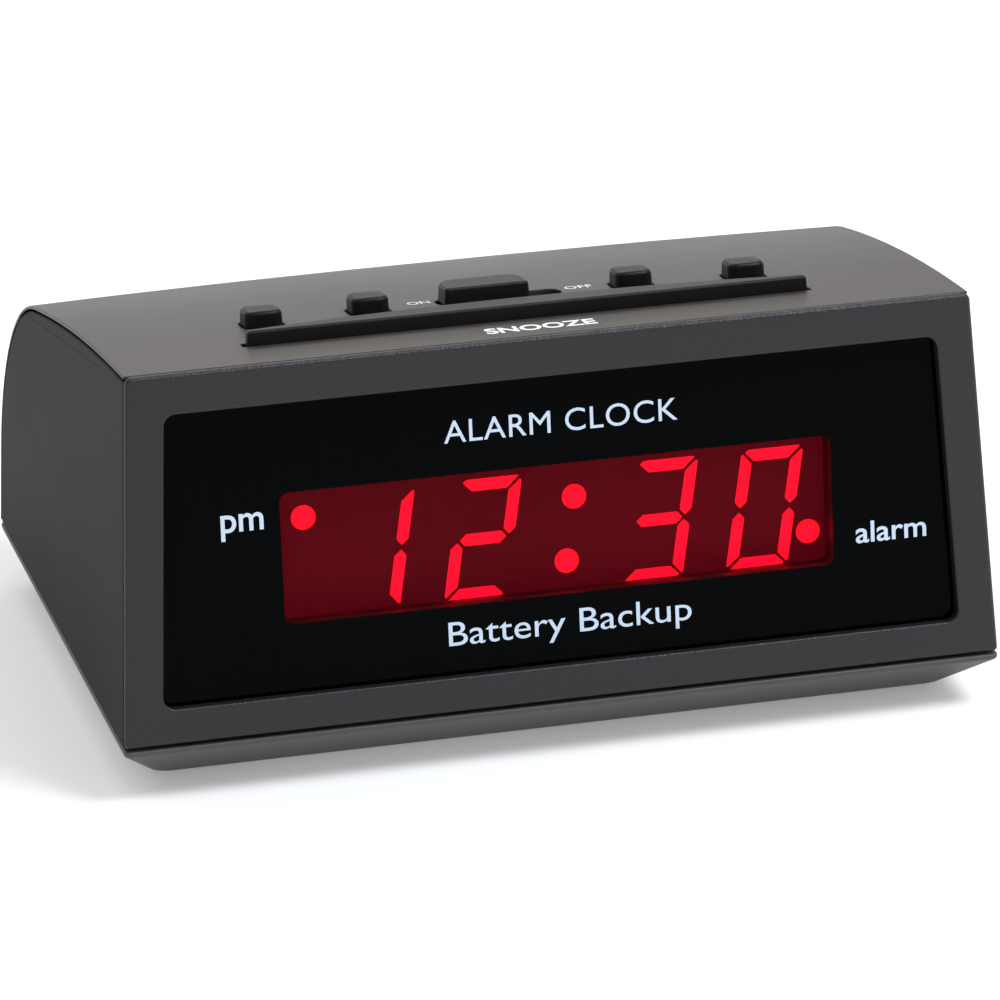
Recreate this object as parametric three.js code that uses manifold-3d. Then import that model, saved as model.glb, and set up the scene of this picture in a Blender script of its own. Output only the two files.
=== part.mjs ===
// Mains LED alarm clock with a battery backup: a wedge-shaped plastic case whose front leans back,
// a recessed black lens over a red four-digit display, and five keys and a slide switch on top.
// Millimetres, +Z up, the display faces -Y.  The origin is on the table, under the case's middle.

import * as THREE from 'three';
import { mergeVertices } from 'three/addons/utils/BufferGeometryUtils.js';
import Module from 'manifold-3d';

const wasm = await Module();
wasm.setup();

// ---------------------------------------------------------------- driving dimensions

const degrees = Math.PI / 180;

const CASE_WIDTH = 112;
const CASE_DEPTH = 83.5;
const FOOT_HEIGHT = 0.8;
const BASE_HEIGHT = 6.23;
const FRONT_RISE = 46.21;
const FRONT_LEAN = 8.29 * degrees;
const SIDE_LEAN = 3.16 * degrees;
const BACK_LEAN = 5.7 * degrees;
const BACK_FOOT = 75.95;
const BACK_BOW = 6.6;
const TOP_RADIUS = 362;
const TOP_SLOPE = 6.66 * degrees;
const REAR_RADIUS = 24.2;

const WALL = 2;
const COVER_WALL = 1.8;
const COVER_LIP = 0.4;
const BEZEL_RIM = 0.75;
const BEZEL_PLATE = 1.4;
const SEAM = 0.35;
const COVER_SEAM = 0.32;
const GAP = 0.3;

const LENS_MARGIN = 4.83;
const LENS_BOTTOM = 4.86;
const LENS_TOP = 41.6;
const LENS_THICKNESS = 1.5;
const LENS_LAP = 0.9;

const WINDOW = { x: 0.2, up: 21.8, width: 70.2, height: 16.9 };
const LED_DEPTH = 6;
const MODULE_X = 1.5;
const DIGIT_UP = 20.7;
const DIGIT_HEIGHT = 15.24;
const DIGIT_WIDTH = 8;
const DIGIT_SLANT = 9.8 * degrees;
const SEGMENT_STROKE = 1.5;
const SEGMENT_GAP = 0.4;

const SNOOZE_MIDDLE = -0.3;
const SNOOZE_LENGTH = 71.4;
const SNOOZE_FRONT = -8.1;
const SNOOZE_END_DEPTH = 1.12;
const SNOOZE_BOW = 3.45;
const SNOOZE_HEIGHT = 1.65;
const KEY_SIZE = 4.7;
const KEY_HEIGHT = 1.9;
const KNOB = { x: -2.85, y: 5.25, length: 11, depth: 5.8, height: 2.3 };
const KNOB_SLOT = { x: -0.66, y: 5.7, length: 16.2, width: 4.2 };
const KEY_TRAVEL = 0.8;
const KEY_BOARD_DEPTH = 9.7;
const BOARD_THICKNESS = 1.6;

const FRONT_Y = -CASE_DEPTH / 2;
const FLOOR_Z = FOOT_HEIGHT;
const PARTING_Z = FOOT_HEIGHT + BASE_HEIGHT;

// ---------------------------------------------------------------- materials

function plastic(color, roughness) {
  return new THREE.MeshStandardMaterial({ color, roughness, metalness: 0 });
}

function metal(color, roughness) {
  return new THREE.MeshStandardMaterial({ color, roughness, metalness: 1 });
}

const finish = {
  bezel: () => plastic(0x3b3c40, 0.55),
  side: () => plastic(0x494844, 0.5),
  cover: () => plastic(0x5a5753, 0.45),
  base: () => plastic(0x4a4a49, 0.5),
  key: () => plastic(0x1d1e21, 0.4),
  lens: () => plastic(0x050506, 0.08),
  module: () => plastic(0x2a0508, 0.5),
  segment: () => plastic(0xff1838, 0.3),
  rubber: () => plastic(0x1a1a1a, 0.85),
  board: () => plastic(0x2f6b3a, 0.5),
  chip: () => plastic(0x161616, 0.5),
  bobbin: () => plastic(0xb5502c, 0.5),
  sleeve: () => plastic(0x20305c, 0.35),
  white: () => plastic(0xd8d6cf, 0.6),
  ribbon: () => plastic(0x9a9ca0, 0.6),
  steel: () => metal(0x9c9fa3, 0.35),
  core: () => metal(0x55585c, 0.5),
  brass: () => metal(0xb9a05a, 0.35),
};

// ---------------------------------------------------------------- solids

function toSolid(geometry) {
  const bare = geometry.clone();
  bare.deleteAttribute('normal');
  bare.deleteAttribute('uv');
  const welded = mergeVertices(bare, 1e-4);
  return new wasm.Manifold(new wasm.Mesh({
    numProp: 3,
    vertProperties: new Float32Array(welded.attributes.position.array),
    triVerts: new Uint32Array(welded.index.array),
  }));
}

function toGeometry(solid) {
  const mesh = solid.getMesh();
  const geometry = new THREE.BufferGeometry();
  geometry.setAttribute('position', new THREE.BufferAttribute(mesh.vertProperties, 3));
  geometry.setIndex(new THREE.BufferAttribute(mesh.triVerts, 1));
  geometry.computeVertexNormals();
  return geometry;
}

function join(...geometries) {
  return geometries.map(toSolid).reduce((whole, piece) => whole.add(piece));
}

function cut(solid, ...geometries) {
  return geometries.reduce((rest, tool) => rest.subtract(toSolid(tool)), solid);
}

// A box given by its middle in x and y and by its lowest and highest z.
function block(width, depth, x, y, low, high) {
  const box = new THREE.BoxGeometry(width, depth, high - low);
  return box.translate(x, y, (low + high) / 2);
}

// An upright round bar between two heights.
function post(radius, x, y, low, high, sides = 16) {
  const bar = new THREE.CylinderGeometry(radius, radius, high - low, sides);
  return bar.rotateX(Math.PI / 2).translate(x, y, (low + high) / 2);
}

// A polygon whose corners are rounded, each by its own radius or all by one.
function roundedPolygon(corners, radii) {
  const shape = new THREE.Shape();
  corners.forEach((corner, i) => {
    const before = corners[(i + corners.length - 1) % corners.length];
    const after = corners[(i + 1) % corners.length];
    const radius = Array.isArray(radii) ? radii[i] : radii;
    const here = new THREE.Vector2(...corner);
    const back = new THREE.Vector2(...before).sub(here).normalize();
    const onward = new THREE.Vector2(...after).sub(here).normalize();
    const half = Math.acos(THREE.MathUtils.clamp(back.dot(onward), -1, 1)) / 2;
    const reach = radius / Math.tan(half);
    const start = here.clone().addScaledVector(back, reach);
    const end = here.clone().addScaledVector(onward, reach);
    if (i === 0) shape.moveTo(start.x, start.y);
    else shape.lineTo(start.x, start.y);
    if (radius > 0) shape.quadraticCurveTo(here.x, here.y, end.x, end.y);
  });
  shape.closePath();
  return shape;
}

function roundedRectangle(width, height, radius, x = 0, y = 0) {
  const w = width / 2;
  const h = height / 2;
  return roundedPolygon([[x - w, y - h], [x + w, y - h], [x + w, y + h], [x - w, y + h]], radius);
}

// A flat outline made solid between two heights.
function slab(shape, low, high, curveSegments = 4) {
  const depth = high - low;
  const body = new THREE.ExtrudeGeometry(shape, { depth, bevelEnabled: false, curveSegments });
  return body.translate(0, 0, low);
}

// ---------------------------------------------------------------- the case's shape

// The side view is drawn in (y, z) from the front edge of the parting line.  The roof is one long
// arc, the back wall leans out, and a large fillet joins the two.
const ARC_STEPS = 14;
const VIEW_COUNT = 27;
const ROOF_START = new THREE.Vector2(FRONT_RISE * Math.tan(FRONT_LEAN), FRONT_RISE);
const ROOF_CENTRE = new THREE.Vector2(
  ROOF_START.x - TOP_RADIUS * Math.sin(TOP_SLOPE),
  ROOF_START.y - TOP_RADIUS * Math.cos(TOP_SLOPE),
);

// The back is bowed in plan: this is how far it stands behind its place at the sides.
function backBow(x) {
  return BACK_BOW * (1 - (2 * x / CASE_WIDTH) ** 2);
}

// The fillet's centre lies one fillet radius inside both the back wall and the roof arc.
function filletCentre(backFoot) {
  const wall = new THREE.Vector2(Math.sin(BACK_LEAN), Math.cos(BACK_LEAN));
  const inward = new THREE.Vector2(-wall.y, wall.x);
  const start = new THREE.Vector2(backFoot, 0).addScaledVector(inward, REAR_RADIUS);
  const toStart = start.clone().sub(ROOF_CENTRE);
  const along = toStart.dot(wall);
  const reach = TOP_RADIUS - REAR_RADIUS;
  const distance = -along + Math.sqrt(along * along - toStart.lengthSq() + reach * reach);
  return start.addScaledVector(wall, distance);
}

// Points along an arc in the side view, from one angle to another.
function arcPoints(centre, radius, from, to) {
  return Array.from({ length: ARC_STEPS + 1 }, (_, i) => {
    const angle = from + (to - from) * i / ARC_STEPS;
    return new THREE.Vector2(
      centre.x + radius * Math.cos(angle),
      centre.y + radius * Math.sin(angle),
    );
  });
}

// The side view at a place across the case, moved inwards by the given amounts; bottom is a height
// above the parting line.
function caseProfile(x, { front = 0, shell = 0, bottom = 0 }) {
  const backFoot = BACK_FOOT + backBow(x);
  const fillet = filletCentre(backFoot);
  const frontFoot = front / Math.cos(FRONT_LEAN) + bottom * Math.tan(FRONT_LEAN);
  const roofRadius = TOP_RADIUS - shell;
  const lean = new THREE.Vector2(Math.sin(FRONT_LEAN), Math.cos(FRONT_LEAN));
  const foot = new THREE.Vector2(frontFoot, bottom);
  const toFoot = foot.clone().sub(ROOF_CENTRE);
  const along = toFoot.dot(lean);
  const rise = -along + Math.sqrt(along * along - toFoot.lengthSq() + roofRadius * roofRadius);
  const roof = foot.clone().addScaledVector(lean, rise);
  const roofAngle = Math.atan2(roof.y - ROOF_CENTRE.y, roof.x - ROOF_CENTRE.x);
  const meetAngle = Math.atan2(fillet.y - ROOF_CENTRE.y, fillet.x - ROOF_CENTRE.x);
  const heel = backFoot - shell / Math.cos(BACK_LEAN) + bottom * Math.tan(BACK_LEAN);
  return [
    foot,
    ...arcPoints(ROOF_CENTRE, roofRadius, roofAngle, meetAngle),
    ...arcPoints(fillet, REAR_RADIUS - shell, meetAngle, -BACK_LEAN).slice(1),
    new THREE.Vector2(heel, bottom),
  ];
}

function halfWidth(rise) {
  return CASE_WIDTH / 2 - rise * Math.tan(SIDE_LEAN);
}

// The wedge between the two leaning sides, as a prism along the case's depth.
function sideWedge(inset) {
  const low = -10;
  const high = 60;
  const corners = [low, high].map((rise) => halfWidth(rise) - inset / Math.cos(SIDE_LEAN));
  const shape = roundedPolygon(
    [[-corners[0], low], [corners[0], low], [corners[1], high], [-corners[1], high]],
    0,
  );
  const length = CASE_DEPTH + 20;
  const wedge = slab(shape, -length / 2, length / 2);
  return wedge.rotateX(Math.PI / 2).translate(0, 0, PARTING_Z);
}

// A closed skin over rings that all have the same number of points, with flat ends.
function loft(rings) {
  const count = rings[0].length;
  const points = rings.flat();
  const faces = [];
  for (let level = 0; level + 1 < rings.length; level += 1) {
    for (let i = 0; i < count; i += 1) {
      const here = level * count + i;
      const next = level * count + (i + 1) % count;
      faces.push(here, next, next + count, here, next + count, here + count);
    }
  }
  const lid = (rings.length - 1) * count;
  for (let i = 1; i + 1 < count; i += 1) {
    faces.push(0, i + 1, i, lid, lid + i, lid + i + 1);
  }
  const geometry = new THREE.BufferGeometry().setFromPoints(points);
  geometry.setIndex(faces);
  return geometry;
}

// The case's outer form, moved inwards at the front, over the roof and back, and at the sides.  Its
// side views stand across the case from right to left, a little past the sides that trim them.
function caseForm({ front = 0, shell = 0, side = 0, bottom = 0 }) {
  const reach = CASE_WIDTH / 2 + 8;
  const views = Array.from({ length: VIEW_COUNT }, (_, i) => {
    const x = reach - 2 * reach * i / (VIEW_COUNT - 1);
    return caseProfile(x, { front, shell, bottom }).map((point) => {
      return new THREE.Vector3(x, FRONT_Y + point.x, PARTING_Z + point.y);
    });
  });
  return toSolid(loft(views)).intersect(toSolid(sideWedge(side)));
}

// ---------------------------------------------------------------- the two working frames

// Front frame: x across, y up the leaning face from the parting line, z out of the face.
const frontFrame = new THREE.Group();
frontFrame.position.set(0, FRONT_Y, PARTING_Z);
frontFrame.rotation.x = Math.PI / 2 - FRONT_LEAN;
frontFrame.updateMatrix();

// Deck frame: x across, y down the roof towards the back, z out of the roof, with its origin on
// the roof, DECK_ARC behind the roof's front edge.  All keys press along its z.
const DECK_ARC = 18;
const DECK_SLOPE = TOP_SLOPE + DECK_ARC / TOP_RADIUS;
const deckFrame = new THREE.Group();
deckFrame.position.set(
  0,
  FRONT_Y + ROOF_CENTRE.x + TOP_RADIUS * Math.sin(DECK_SLOPE),
  PARTING_Z + ROOF_CENTRE.y + TOP_RADIUS * Math.cos(DECK_SLOPE),
);
deckFrame.rotation.x = -DECK_SLOPE;
deckFrame.updateMatrix();

function inFront(geometry) {
  return geometry.applyMatrix4(frontFrame.matrix);
}

function inDeck(geometry) {
  return geometry.applyMatrix4(deckFrame.matrix);
}

const clock = new THREE.Group();
clock.add(frontFrame, deckFrame);

function addPart(name, shape, material, parent = clock) {
  const geometry = shape.getMesh ? toGeometry(shape) : shape;
  const mesh = new THREE.Mesh(geometry, material);
  mesh.name = name;
  parent.add(mesh);
  return mesh;
}

// ---------------------------------------------------------------- front: bezel, lens, display

// A panel of the face whose sides follow the case's leaning sides at a fixed margin.
function facePanel(margin, low, high, radius) {
  const half = (up) => halfWidth(up * Math.cos(FRONT_LEAN)) - margin;
  const corners = [[-half(low), low], [half(low), low], [half(high), high], [-half(high), high]];
  return roundedPolygon(corners, radius);
}

function frontBezel() {
  const lipDepth = 6.5;
  const lipWall = 1.2;
  const faceTop = 52;
  const plate = toSolid(inFront(slab(facePanel(0, -5, faceTop, 0), -BEZEL_RIM, 1)))
    .intersect(caseForm({ bottom: SEAM }));
  const seatLap = 1.3;
  const seatPanel = facePanel(LENS_MARGIN - seatLap, LENS_BOTTOM - seatLap, LENS_TOP + seatLap, 2);
  const seat = toSolid(inFront(slab(seatPanel, -BEZEL_PLATE, -BEZEL_RIM / 2)));
  const inset = { shell: COVER_WALL + SEAM, side: WALL + SEAM, bottom: SEAM + 0.1 };
  const bore = {
    front: -1,
    shell: inset.shell + lipWall,
    side: inset.side + lipWall,
    bottom: inset.bottom + lipWall,
  };
  const band = toSolid(inFront(slab(facePanel(-5, -5, faceTop, 0), -lipDepth, -BEZEL_RIM / 2)));
  const lip = caseForm(inset).intersect(band).subtract(caseForm(bore));
  const openingPanel = facePanel(LENS_MARGIN, LENS_BOTTOM, LENS_TOP, 1.5);
  return cut(plate.add(lip).add(seat), inFront(slab(openingPanel, -BEZEL_PLATE - 1, 2)));
}

const LENS_FRONT = -BEZEL_PLATE - 0.25;
const LENS_BACK = LENS_FRONT - LENS_THICKNESS;

function displayLens() {
  const outline = facePanel(
    LENS_MARGIN - LENS_LAP,
    LENS_BOTTOM - LENS_LAP,
    LENS_TOP + LENS_LAP,
    2,
  );
  return slab(outline, LENS_BACK, LENS_FRONT);
}

const MODULE = { width: 77, height: 21, face: -LED_DEPTH - 0.2, back: -LED_DEPTH - 6.2 };

// The shroud keeps stray light off the display and carries the display board on its end walls.
function lightShroud() {
  const endWall = 2;
  const width = MODULE.width + 2 * (GAP + endWall);
  const top = LENS_BACK - GAP;
  const shelf = MODULE.face + GAP;
  const frame = join(slab(roundedRectangle(width, 22, 1, MODULE_X, WINDOW.up), shelf, top));
  const opening = roundedRectangle(WINDOW.width + 0.4, WINDOW.height + 0.4, 1.2, WINDOW.x, WINDOW.up);
  const walls = [-1, 1].map((side) => {
    const x = MODULE_X + side * (width - endWall) / 2;
    return toSolid(block(endWall, 20, x, WINDOW.up, MODULE.back, shelf + 0.1));
  });
  return cut(walls.reduce((whole, wall) => whole.add(wall), frame), slab(opening, shelf - 1, top + 1));
}

const DIGIT_PITCH = 13.63;
const DIGIT_CENTRES = [-22.12, -22.12 + DIGIT_PITCH, 14.15, 14.15 + DIGIT_PITCH];
const DOTS = {
  colon_upper: [3.3, 24.8],
  colon_lower: [2.05, 16.7],
  pm_dot: [-31, 25.8],
  alarm_dot: [33.3, 17.1],
};
const DOT_RADIUS = 1.55;

function slanted(x, up) {
  return [x + up * Math.tan(DIGIT_SLANT), up];
}

// The outline that one digit's epoxy plate fills, about the digit's own middle.
function digitPlate(margin) {
  const w = DIGIT_WIDTH / 2 + margin;
  const h = DIGIT_HEIGHT / 2 + margin;
  return roundedPolygon([slanted(-w, -h), slanted(w, -h), slanted(w, h), slanted(-w, h)], 0.5);
}

// A bar with pointed ends, the seven-segment stroke, between two points of the upright digit.
function segmentShape([x0, y0], [x1, y1]) {
  const half = SEGMENT_STROKE / 2;
  const point = SEGMENT_GAP / Math.SQRT2;
  const along = new THREE.Vector2(x1 - x0, y1 - y0).normalize();
  const across = new THREE.Vector2(-along.y, along.x);
  const place = (x, y, a, b) => {
    return slanted(x + along.x * a + across.x * b, y + along.y * a + across.y * b);
  };
  return roundedPolygon([
    place(x0, y0, point, 0),
    place(x0, y0, point + half, -half),
    place(x1, y1, -point - half, -half),
    place(x1, y1, -point, 0),
    place(x1, y1, -point - half, half),
    place(x0, y0, point + half, half),
  ], 0);
}

// The strokes of each numeral that the display shows, by the seven usual segment letters.
const SEGMENT_ENDS = (() => {
  const w = (DIGIT_WIDTH - SEGMENT_STROKE) / 2;
  const h = (DIGIT_HEIGHT - SEGMENT_STROKE) / 2;
  return {
    a: [[-w, h], [w, h]],
    b: [[w, 0], [w, h]],
    c: [[w, -h], [w, 0]],
    d: [[-w, -h], [w, -h]],
    e: [[-w, -h], [-w, 0]],
    f: [[-w, 0], [-w, h]],
    g: [[-w, 0], [w, 0]],
  };
})();
const SHOWN = ['bc', 'abged', 'abgcd', 'abcdef'];

function digit(letters) {
  const top = MODULE.face;
  const plate = toSolid(slab(digitPlate(0.5), top - 0.6, top));
  return [...letters].reduce((whole, letter) => {
    const shape = segmentShape(...SEGMENT_ENDS[letter]);
    return whole.add(toSolid(slab(shape, top - 0.2, -LED_DEPTH)));
  }, plate);
}

function ledReflector() {
  const body = toSolid(slab(
    roundedRectangle(MODULE.width, MODULE.height, 0.8, MODULE_X, WINDOW.up),
    MODULE.back,
    MODULE.face,
  ));
  const pocketFloor = MODULE.face - 0.9;
  const pockets = DIGIT_CENTRES.map((x) => {
    return slab(digitPlate(0.5 + GAP), pocketFloor, 0).translate(x, DIGIT_UP, 0);
  });
  const wells = Object.values(DOTS).map(([x, up]) => {
    return post(DOT_RADIUS + GAP, x, up, MODULE.face - 2, 0);
  });
  return cut(body, ...pockets, ...wells);
}

function buildFront() {
  addPart('front_bezel', frontBezel(), finish.bezel());
  addPart('display_lens', displayLens(), finish.lens(), frontFrame);
  addPart('light_shroud', lightShroud(), finish.module(), frontFrame);
  addPart('led_reflector', ledReflector(), finish.module(), frontFrame);
  SHOWN.forEach((letters, i) => {
    const mesh = addPart(`digit_${i + 1}`, digit(letters), finish.segment(), frontFrame);
    mesh.position.set(DIGIT_CENTRES[i], DIGIT_UP, 0);
  });
  Object.entries(DOTS).forEach(([name, [x, up]]) => {
    const dot = post(DOT_RADIUS, x, up, MODULE.face - 1.6, -LED_DEPTH);
    addPart(name, dot, finish.segment(), frontFrame);
  });
  const boardTop = MODULE.back - GAP;
  const board = slab(roundedRectangle(83, 24, 1, MODULE_X, WINDOW.up), boardTop - BOARD_THICKNESS, boardTop);
  addPart('display_board', board, finish.board(), frontFrame);
}

// ---------------------------------------------------------------- roof: cover, keys, slide switch

const KEYS = {
  hour: { x: -31.6, y: 3.5 },
  minute: { x: -17.6, y: 5.2 },
  alarm_set: { x: 16.4, y: 5.2 },
  time_set: { x: 30.6, y: 3.5 },
};
const SNOOZE_SWITCH = { x: 0, y: -7 };
const KEY_FLANGE = { top: -COVER_WALL - GAP, bottom: -COVER_WALL - GAP - 0.8 };
const STEM_END = -5;
const BOARD_PINS = [[-37.5, -2.5], [37.5, -2.5], [-37.5, 8.5], [37.5, 8.5]];

// The snooze bar in plan: a straight front edge and a rear edge that bows towards the back.
function snoozeOutline(grow, growEnds = grow) {
  const half = SNOOZE_LENGTH / 2 + growEnds;
  const front = SNOOZE_FRONT - grow;
  const end = SNOOZE_FRONT + SNOOZE_END_DEPTH + grow;
  const shape = new THREE.Shape();
  const radius = (half * half + SNOOZE_BOW * SNOOZE_BOW) / (2 * SNOOZE_BOW);
  const centre = end + SNOOZE_BOW - radius;
  const sweep = Math.asin(half / radius);
  const x = SNOOZE_MIDDLE;
  shape.moveTo(x - half, front);
  shape.lineTo(x + half, front);
  shape.lineTo(x + half, end);
  shape.absarc(x, centre, radius, Math.PI / 2 - sweep, Math.PI / 2 + sweep, false);
  shape.closePath();
  return shape;
}

// The cover's wall stops inside the side panels, and a thin lip laps over their top edges.
function topCover() {
  const underLip = caseForm({ front: -5, shell: COVER_LIP, side: -5, bottom: -5 })
    .subtract(toSolid(sideWedge(WALL + COVER_SEAM)));
  const shell = caseForm({ front: BEZEL_RIM + SEAM, bottom: SEAM })
    .subtract(caseForm({ front: -5, shell: COVER_WALL, side: -5, bottom: -5 }))
    .subtract(underLip);
  const below = -COVER_WALL - 2;
  const above = 3;
  const keyHole = KEY_SIZE + 2 * GAP;
  const holes = Object.values(KEYS).map(({ x, y }) => {
    return inDeck(slab(roundedRectangle(keyHole, keyHole, 1.5, x, y), below, above));
  });
  const knobSlot = roundedRectangle(
    KNOB_SLOT.length,
    KNOB_SLOT.width,
    KNOB_SLOT.width / 2,
    KNOB_SLOT.x,
    KNOB_SLOT.y,
  );
  holes.push(inDeck(slab(snoozeOutline(GAP, 0.6), below, above)));
  holes.push(inDeck(slab(knobSlot, below, above, 6)));
  holes.push(backHole(GROMMET.radius + GAP));
  const open = cut(shell, ...holes);
  return BOARD_PINS.reduce((whole, [x, y]) => {
    const pillar = post(2.2, x, y, -KEY_BOARD_DEPTH + GAP, -COVER_WALL + 0.4, 12);
    const pin = post(1, x, y, -KEY_BOARD_DEPTH - BOARD_THICKNESS - 0.8, -KEY_BOARD_DEPTH + 1, 8);
    return whole.add(toSolid(inDeck(pillar))).add(toSolid(inDeck(pin)));
  }, open);
}

// A square key: a rounded cap, a flange that stops it under the cover, and a stem to its switch.
function keyCap() {
  const round = 0.45;
  const shape = roundedRectangle(KEY_SIZE - 2 * round, KEY_SIZE - 2 * round, 1);
  const low = KEY_FLANGE.bottom + 0.1;
  const cap = new THREE.ExtrudeGeometry(shape, {
    depth: KEY_HEIGHT - low - 2 * round,
    bevelEnabled: true,
    bevelThickness: round,
    bevelSize: round,
    bevelSegments: 2,
    curveSegments: 3,
  }).translate(0, 0, low + round);
  const flange = block(6.6, 6.6, 0, 0, KEY_FLANGE.bottom, KEY_FLANGE.top);
  return join(cap, flange, post(1.6, 0, 0, STEM_END, KEY_FLANGE.top));
}

function snoozeBar() {
  const bar = slab(snoozeOutline(0), KEY_FLANGE.bottom, SNOOZE_HEIGHT, 16);
  const flange = slab(snoozeOutline(1.1), KEY_FLANGE.bottom, KEY_FLANGE.top, 16);
  const stem = post(1.6, SNOOZE_SWITCH.x, SNOOZE_SWITCH.y, STEM_END, KEY_FLANGE.top);
  const guides = [-26, 26].map((x) => block(5, 1.4, x, -8.2, STEM_END, KEY_FLANGE.top));
  return join(bar, flange, stem, ...guides);
}

// The slide knob stands just clear of the roof on a neck that runs in the slot.
function slideKnob() {
  const { x, y, length, depth, height } = KNOB;
  const w = length / 2;
  const h = depth / 2;
  const outline = roundedPolygon([[x - w, y - h], [x + w, y - h], [x + w, y + h], [x - w, y + h]],
    [0.5, 0.5, 2.4, 2.4]);
  const head = slab(outline, GAP, height);
  const neck = block(6.4, 3.4, x, KNOB_SLOT.y, -3, GAP + 0.1);
  const flange = block(9.6, 6.4, x, KNOB_SLOT.y, KEY_FLANGE.bottom, KEY_FLANGE.top);
  return join(head, neck, flange);
}

const TACT = { size: 6, top: -6.2, bore: 2, plunger: 1.7, reach: 1.2 };

function tactBody() {
  const body = join(block(TACT.size, TACT.size, 0, 0, -KEY_BOARD_DEPTH + GAP, TACT.top));
  const boreDepth = TACT.reach + KEY_TRAVEL + 2 * GAP;
  return cut(body, post(TACT.bore, 0, 0, TACT.top - boreDepth, TACT.top + 1));
}

function tactPlunger() {
  return post(TACT.plunger, 0, 0, TACT.top - TACT.reach, STEM_END - GAP);
}

function slideSwitchBody() {
  const body = join(block(15, 6.4, KNOB_SLOT.x, KNOB_SLOT.y, -KEY_BOARD_DEPTH + GAP, -5.2));
  return cut(body, block(8.4, 3.4, KNOB_SLOT.x, KNOB_SLOT.y, -7.6, -4));
}

function keyBoard() {
  const board = join(slab(
    roundedRectangle(82, 23, 1, 0, -0.2),
    -KEY_BOARD_DEPTH - BOARD_THICKNESS,
    -KEY_BOARD_DEPTH,
  ));
  const pinHoles = BOARD_PINS.map(([x, y]) => post(1.35, x, y, -KEY_BOARD_DEPTH - 3, -KEY_BOARD_DEPTH + 3, 8));
  return cut(board, ...pinHoles);
}

function buildRoof() {
  addPart('top_cover', topCover(), finish.cover());
  const switches = { ...KEYS, snooze: SNOOZE_SWITCH };
  Object.entries(KEYS).forEach(([name, { x, y }]) => {
    addPart(`${name}_key`, keyCap(), finish.key(), deckFrame).position.set(x, y, 0);
  });
  addPart('snooze_bar', snoozeBar(), finish.key(), deckFrame);
  addPart('alarm_slide_knob', slideKnob(), finish.key(), deckFrame);
  Object.entries(switches).forEach(([name, { x, y }]) => {
    addPart(`${name}_switch`, tactBody(), finish.chip(), deckFrame).position.set(x, y, 0);
    addPart(`${name}_plunger`, tactPlunger(), finish.white(), deckFrame).position.set(x, y, 0);
  });
  addPart('slide_switch', slideSwitchBody(), finish.steel(), deckFrame);
  const lever = block(2.6, 2.6, KNOB.x, KNOB_SLOT.y, -6.8, -3 - GAP);
  addPart('slide_lever', lever, finish.chip(), deckFrame);
  addPart('key_board', keyBoard(), finish.board(), deckFrame);
}

// ---------------------------------------------------------------- sides and cord inlet

const SCREWS = [[-47.2, 21], [47.2, 21], [-47.2, 58], [47.2, 58]];
const SCREW = { radius: 1.4, head: 2.6, headHeight: 1.9, length: 15 };

// Each side panel tucks under the cover's lip and has two bosses that take the case screws.
function sidePanel(side) {
  const outer = caseForm({ front: BEZEL_RIM + SEAM, shell: COVER_LIP + COVER_SEAM, bottom: SEAM });
  const inner = caseForm({ front: -5, shell: -5, side: WALL, bottom: -5 });
  const half = block(CASE_WIDTH, CASE_DEPTH * 2, side * (CASE_WIDTH / 2 + 20), 0, 0, 80);
  let panel = outer.subtract(inner).intersect(toSolid(half));
  SCREWS.filter(([x]) => Math.sign(x) === side).forEach(([x, depth]) => {
    const low = PARTING_Z + SEAM;
    const high = low + 12;
    const y = FRONT_Y + depth;
    const reach = CASE_WIDTH / 2 - WALL - 0.2 - Math.abs(x);
    const boss = join(post(3.2, x, y, low, high), block(reach, 3, x + side * reach / 2, y, low, high));
    panel = cut(panel.add(boss), post(SCREW.radius + GAP, x, y, low - 1, high + 1, 12));
  });
  return panel;
}

const GROMMET = { x: -38, rise: 5.4, radius: 3.2, flange: 4.5, bore: 1.8, length: 5 };

// Turns a solid drawn about +z into one that points out of the leaning, bowed back wall.
function onBackWall(geometry) {
  const { x, rise } = GROMMET;
  const y = FRONT_Y + BACK_FOOT + backBow(x) + rise * Math.tan(BACK_LEAN);
  const turn = Math.atan(-8 * BACK_BOW * x / CASE_WIDTH ** 2);
  return geometry.rotateX(-Math.PI / 2 - BACK_LEAN).rotateZ(turn).translate(x, y, PARTING_Z + rise);
}

function backHole(radius) {
  return onBackWall(post(radius, 0, 0, -5, 3, 20));
}

// The grommet that the power cord would pass through, flush outside and flanged inside.
function cordGrommet() {
  const { radius, flange, bore, length } = GROMMET;
  const inside = -COVER_WALL - GAP;
  const outline = [
    [bore, -length], [flange, -length], [flange, inside], [radius, inside], [radius, -0.1], [bore, -0.1],
    [bore, -length],
  ].map(([r, z]) => new THREE.Vector2(r, z));
  return onBackWall(new THREE.LatheGeometry(outline, 20).rotateX(Math.PI / 2));
}

function buildSides() {
  addPart('side_panel_left', sidePanel(-1), finish.side());
  addPart('side_panel_right', sidePanel(1), finish.side());
  addPart('cord_grommet', cordGrommet(), finish.rubber());
}

// ---------------------------------------------------------------- base, feet, battery backup

const BASE_INSET = { front: 7, side: 4.5, back: 6 };
const BASE_BAND = 0.6;
const FEET = {
  front_left: [-43, 12.5],
  front_right: [43, 12.5],
  rear_left: [-43, 66],
  rear_right: [43, 66],
};
const FOOT_RADIUS = 4;
const DOOR = { x: 18, width: 25, tongue: 28, front: 41, back: 67, plate: 0.9, lip: 0.9 };

function atDepth(depth) {
  return FRONT_Y + depth;
}

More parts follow.
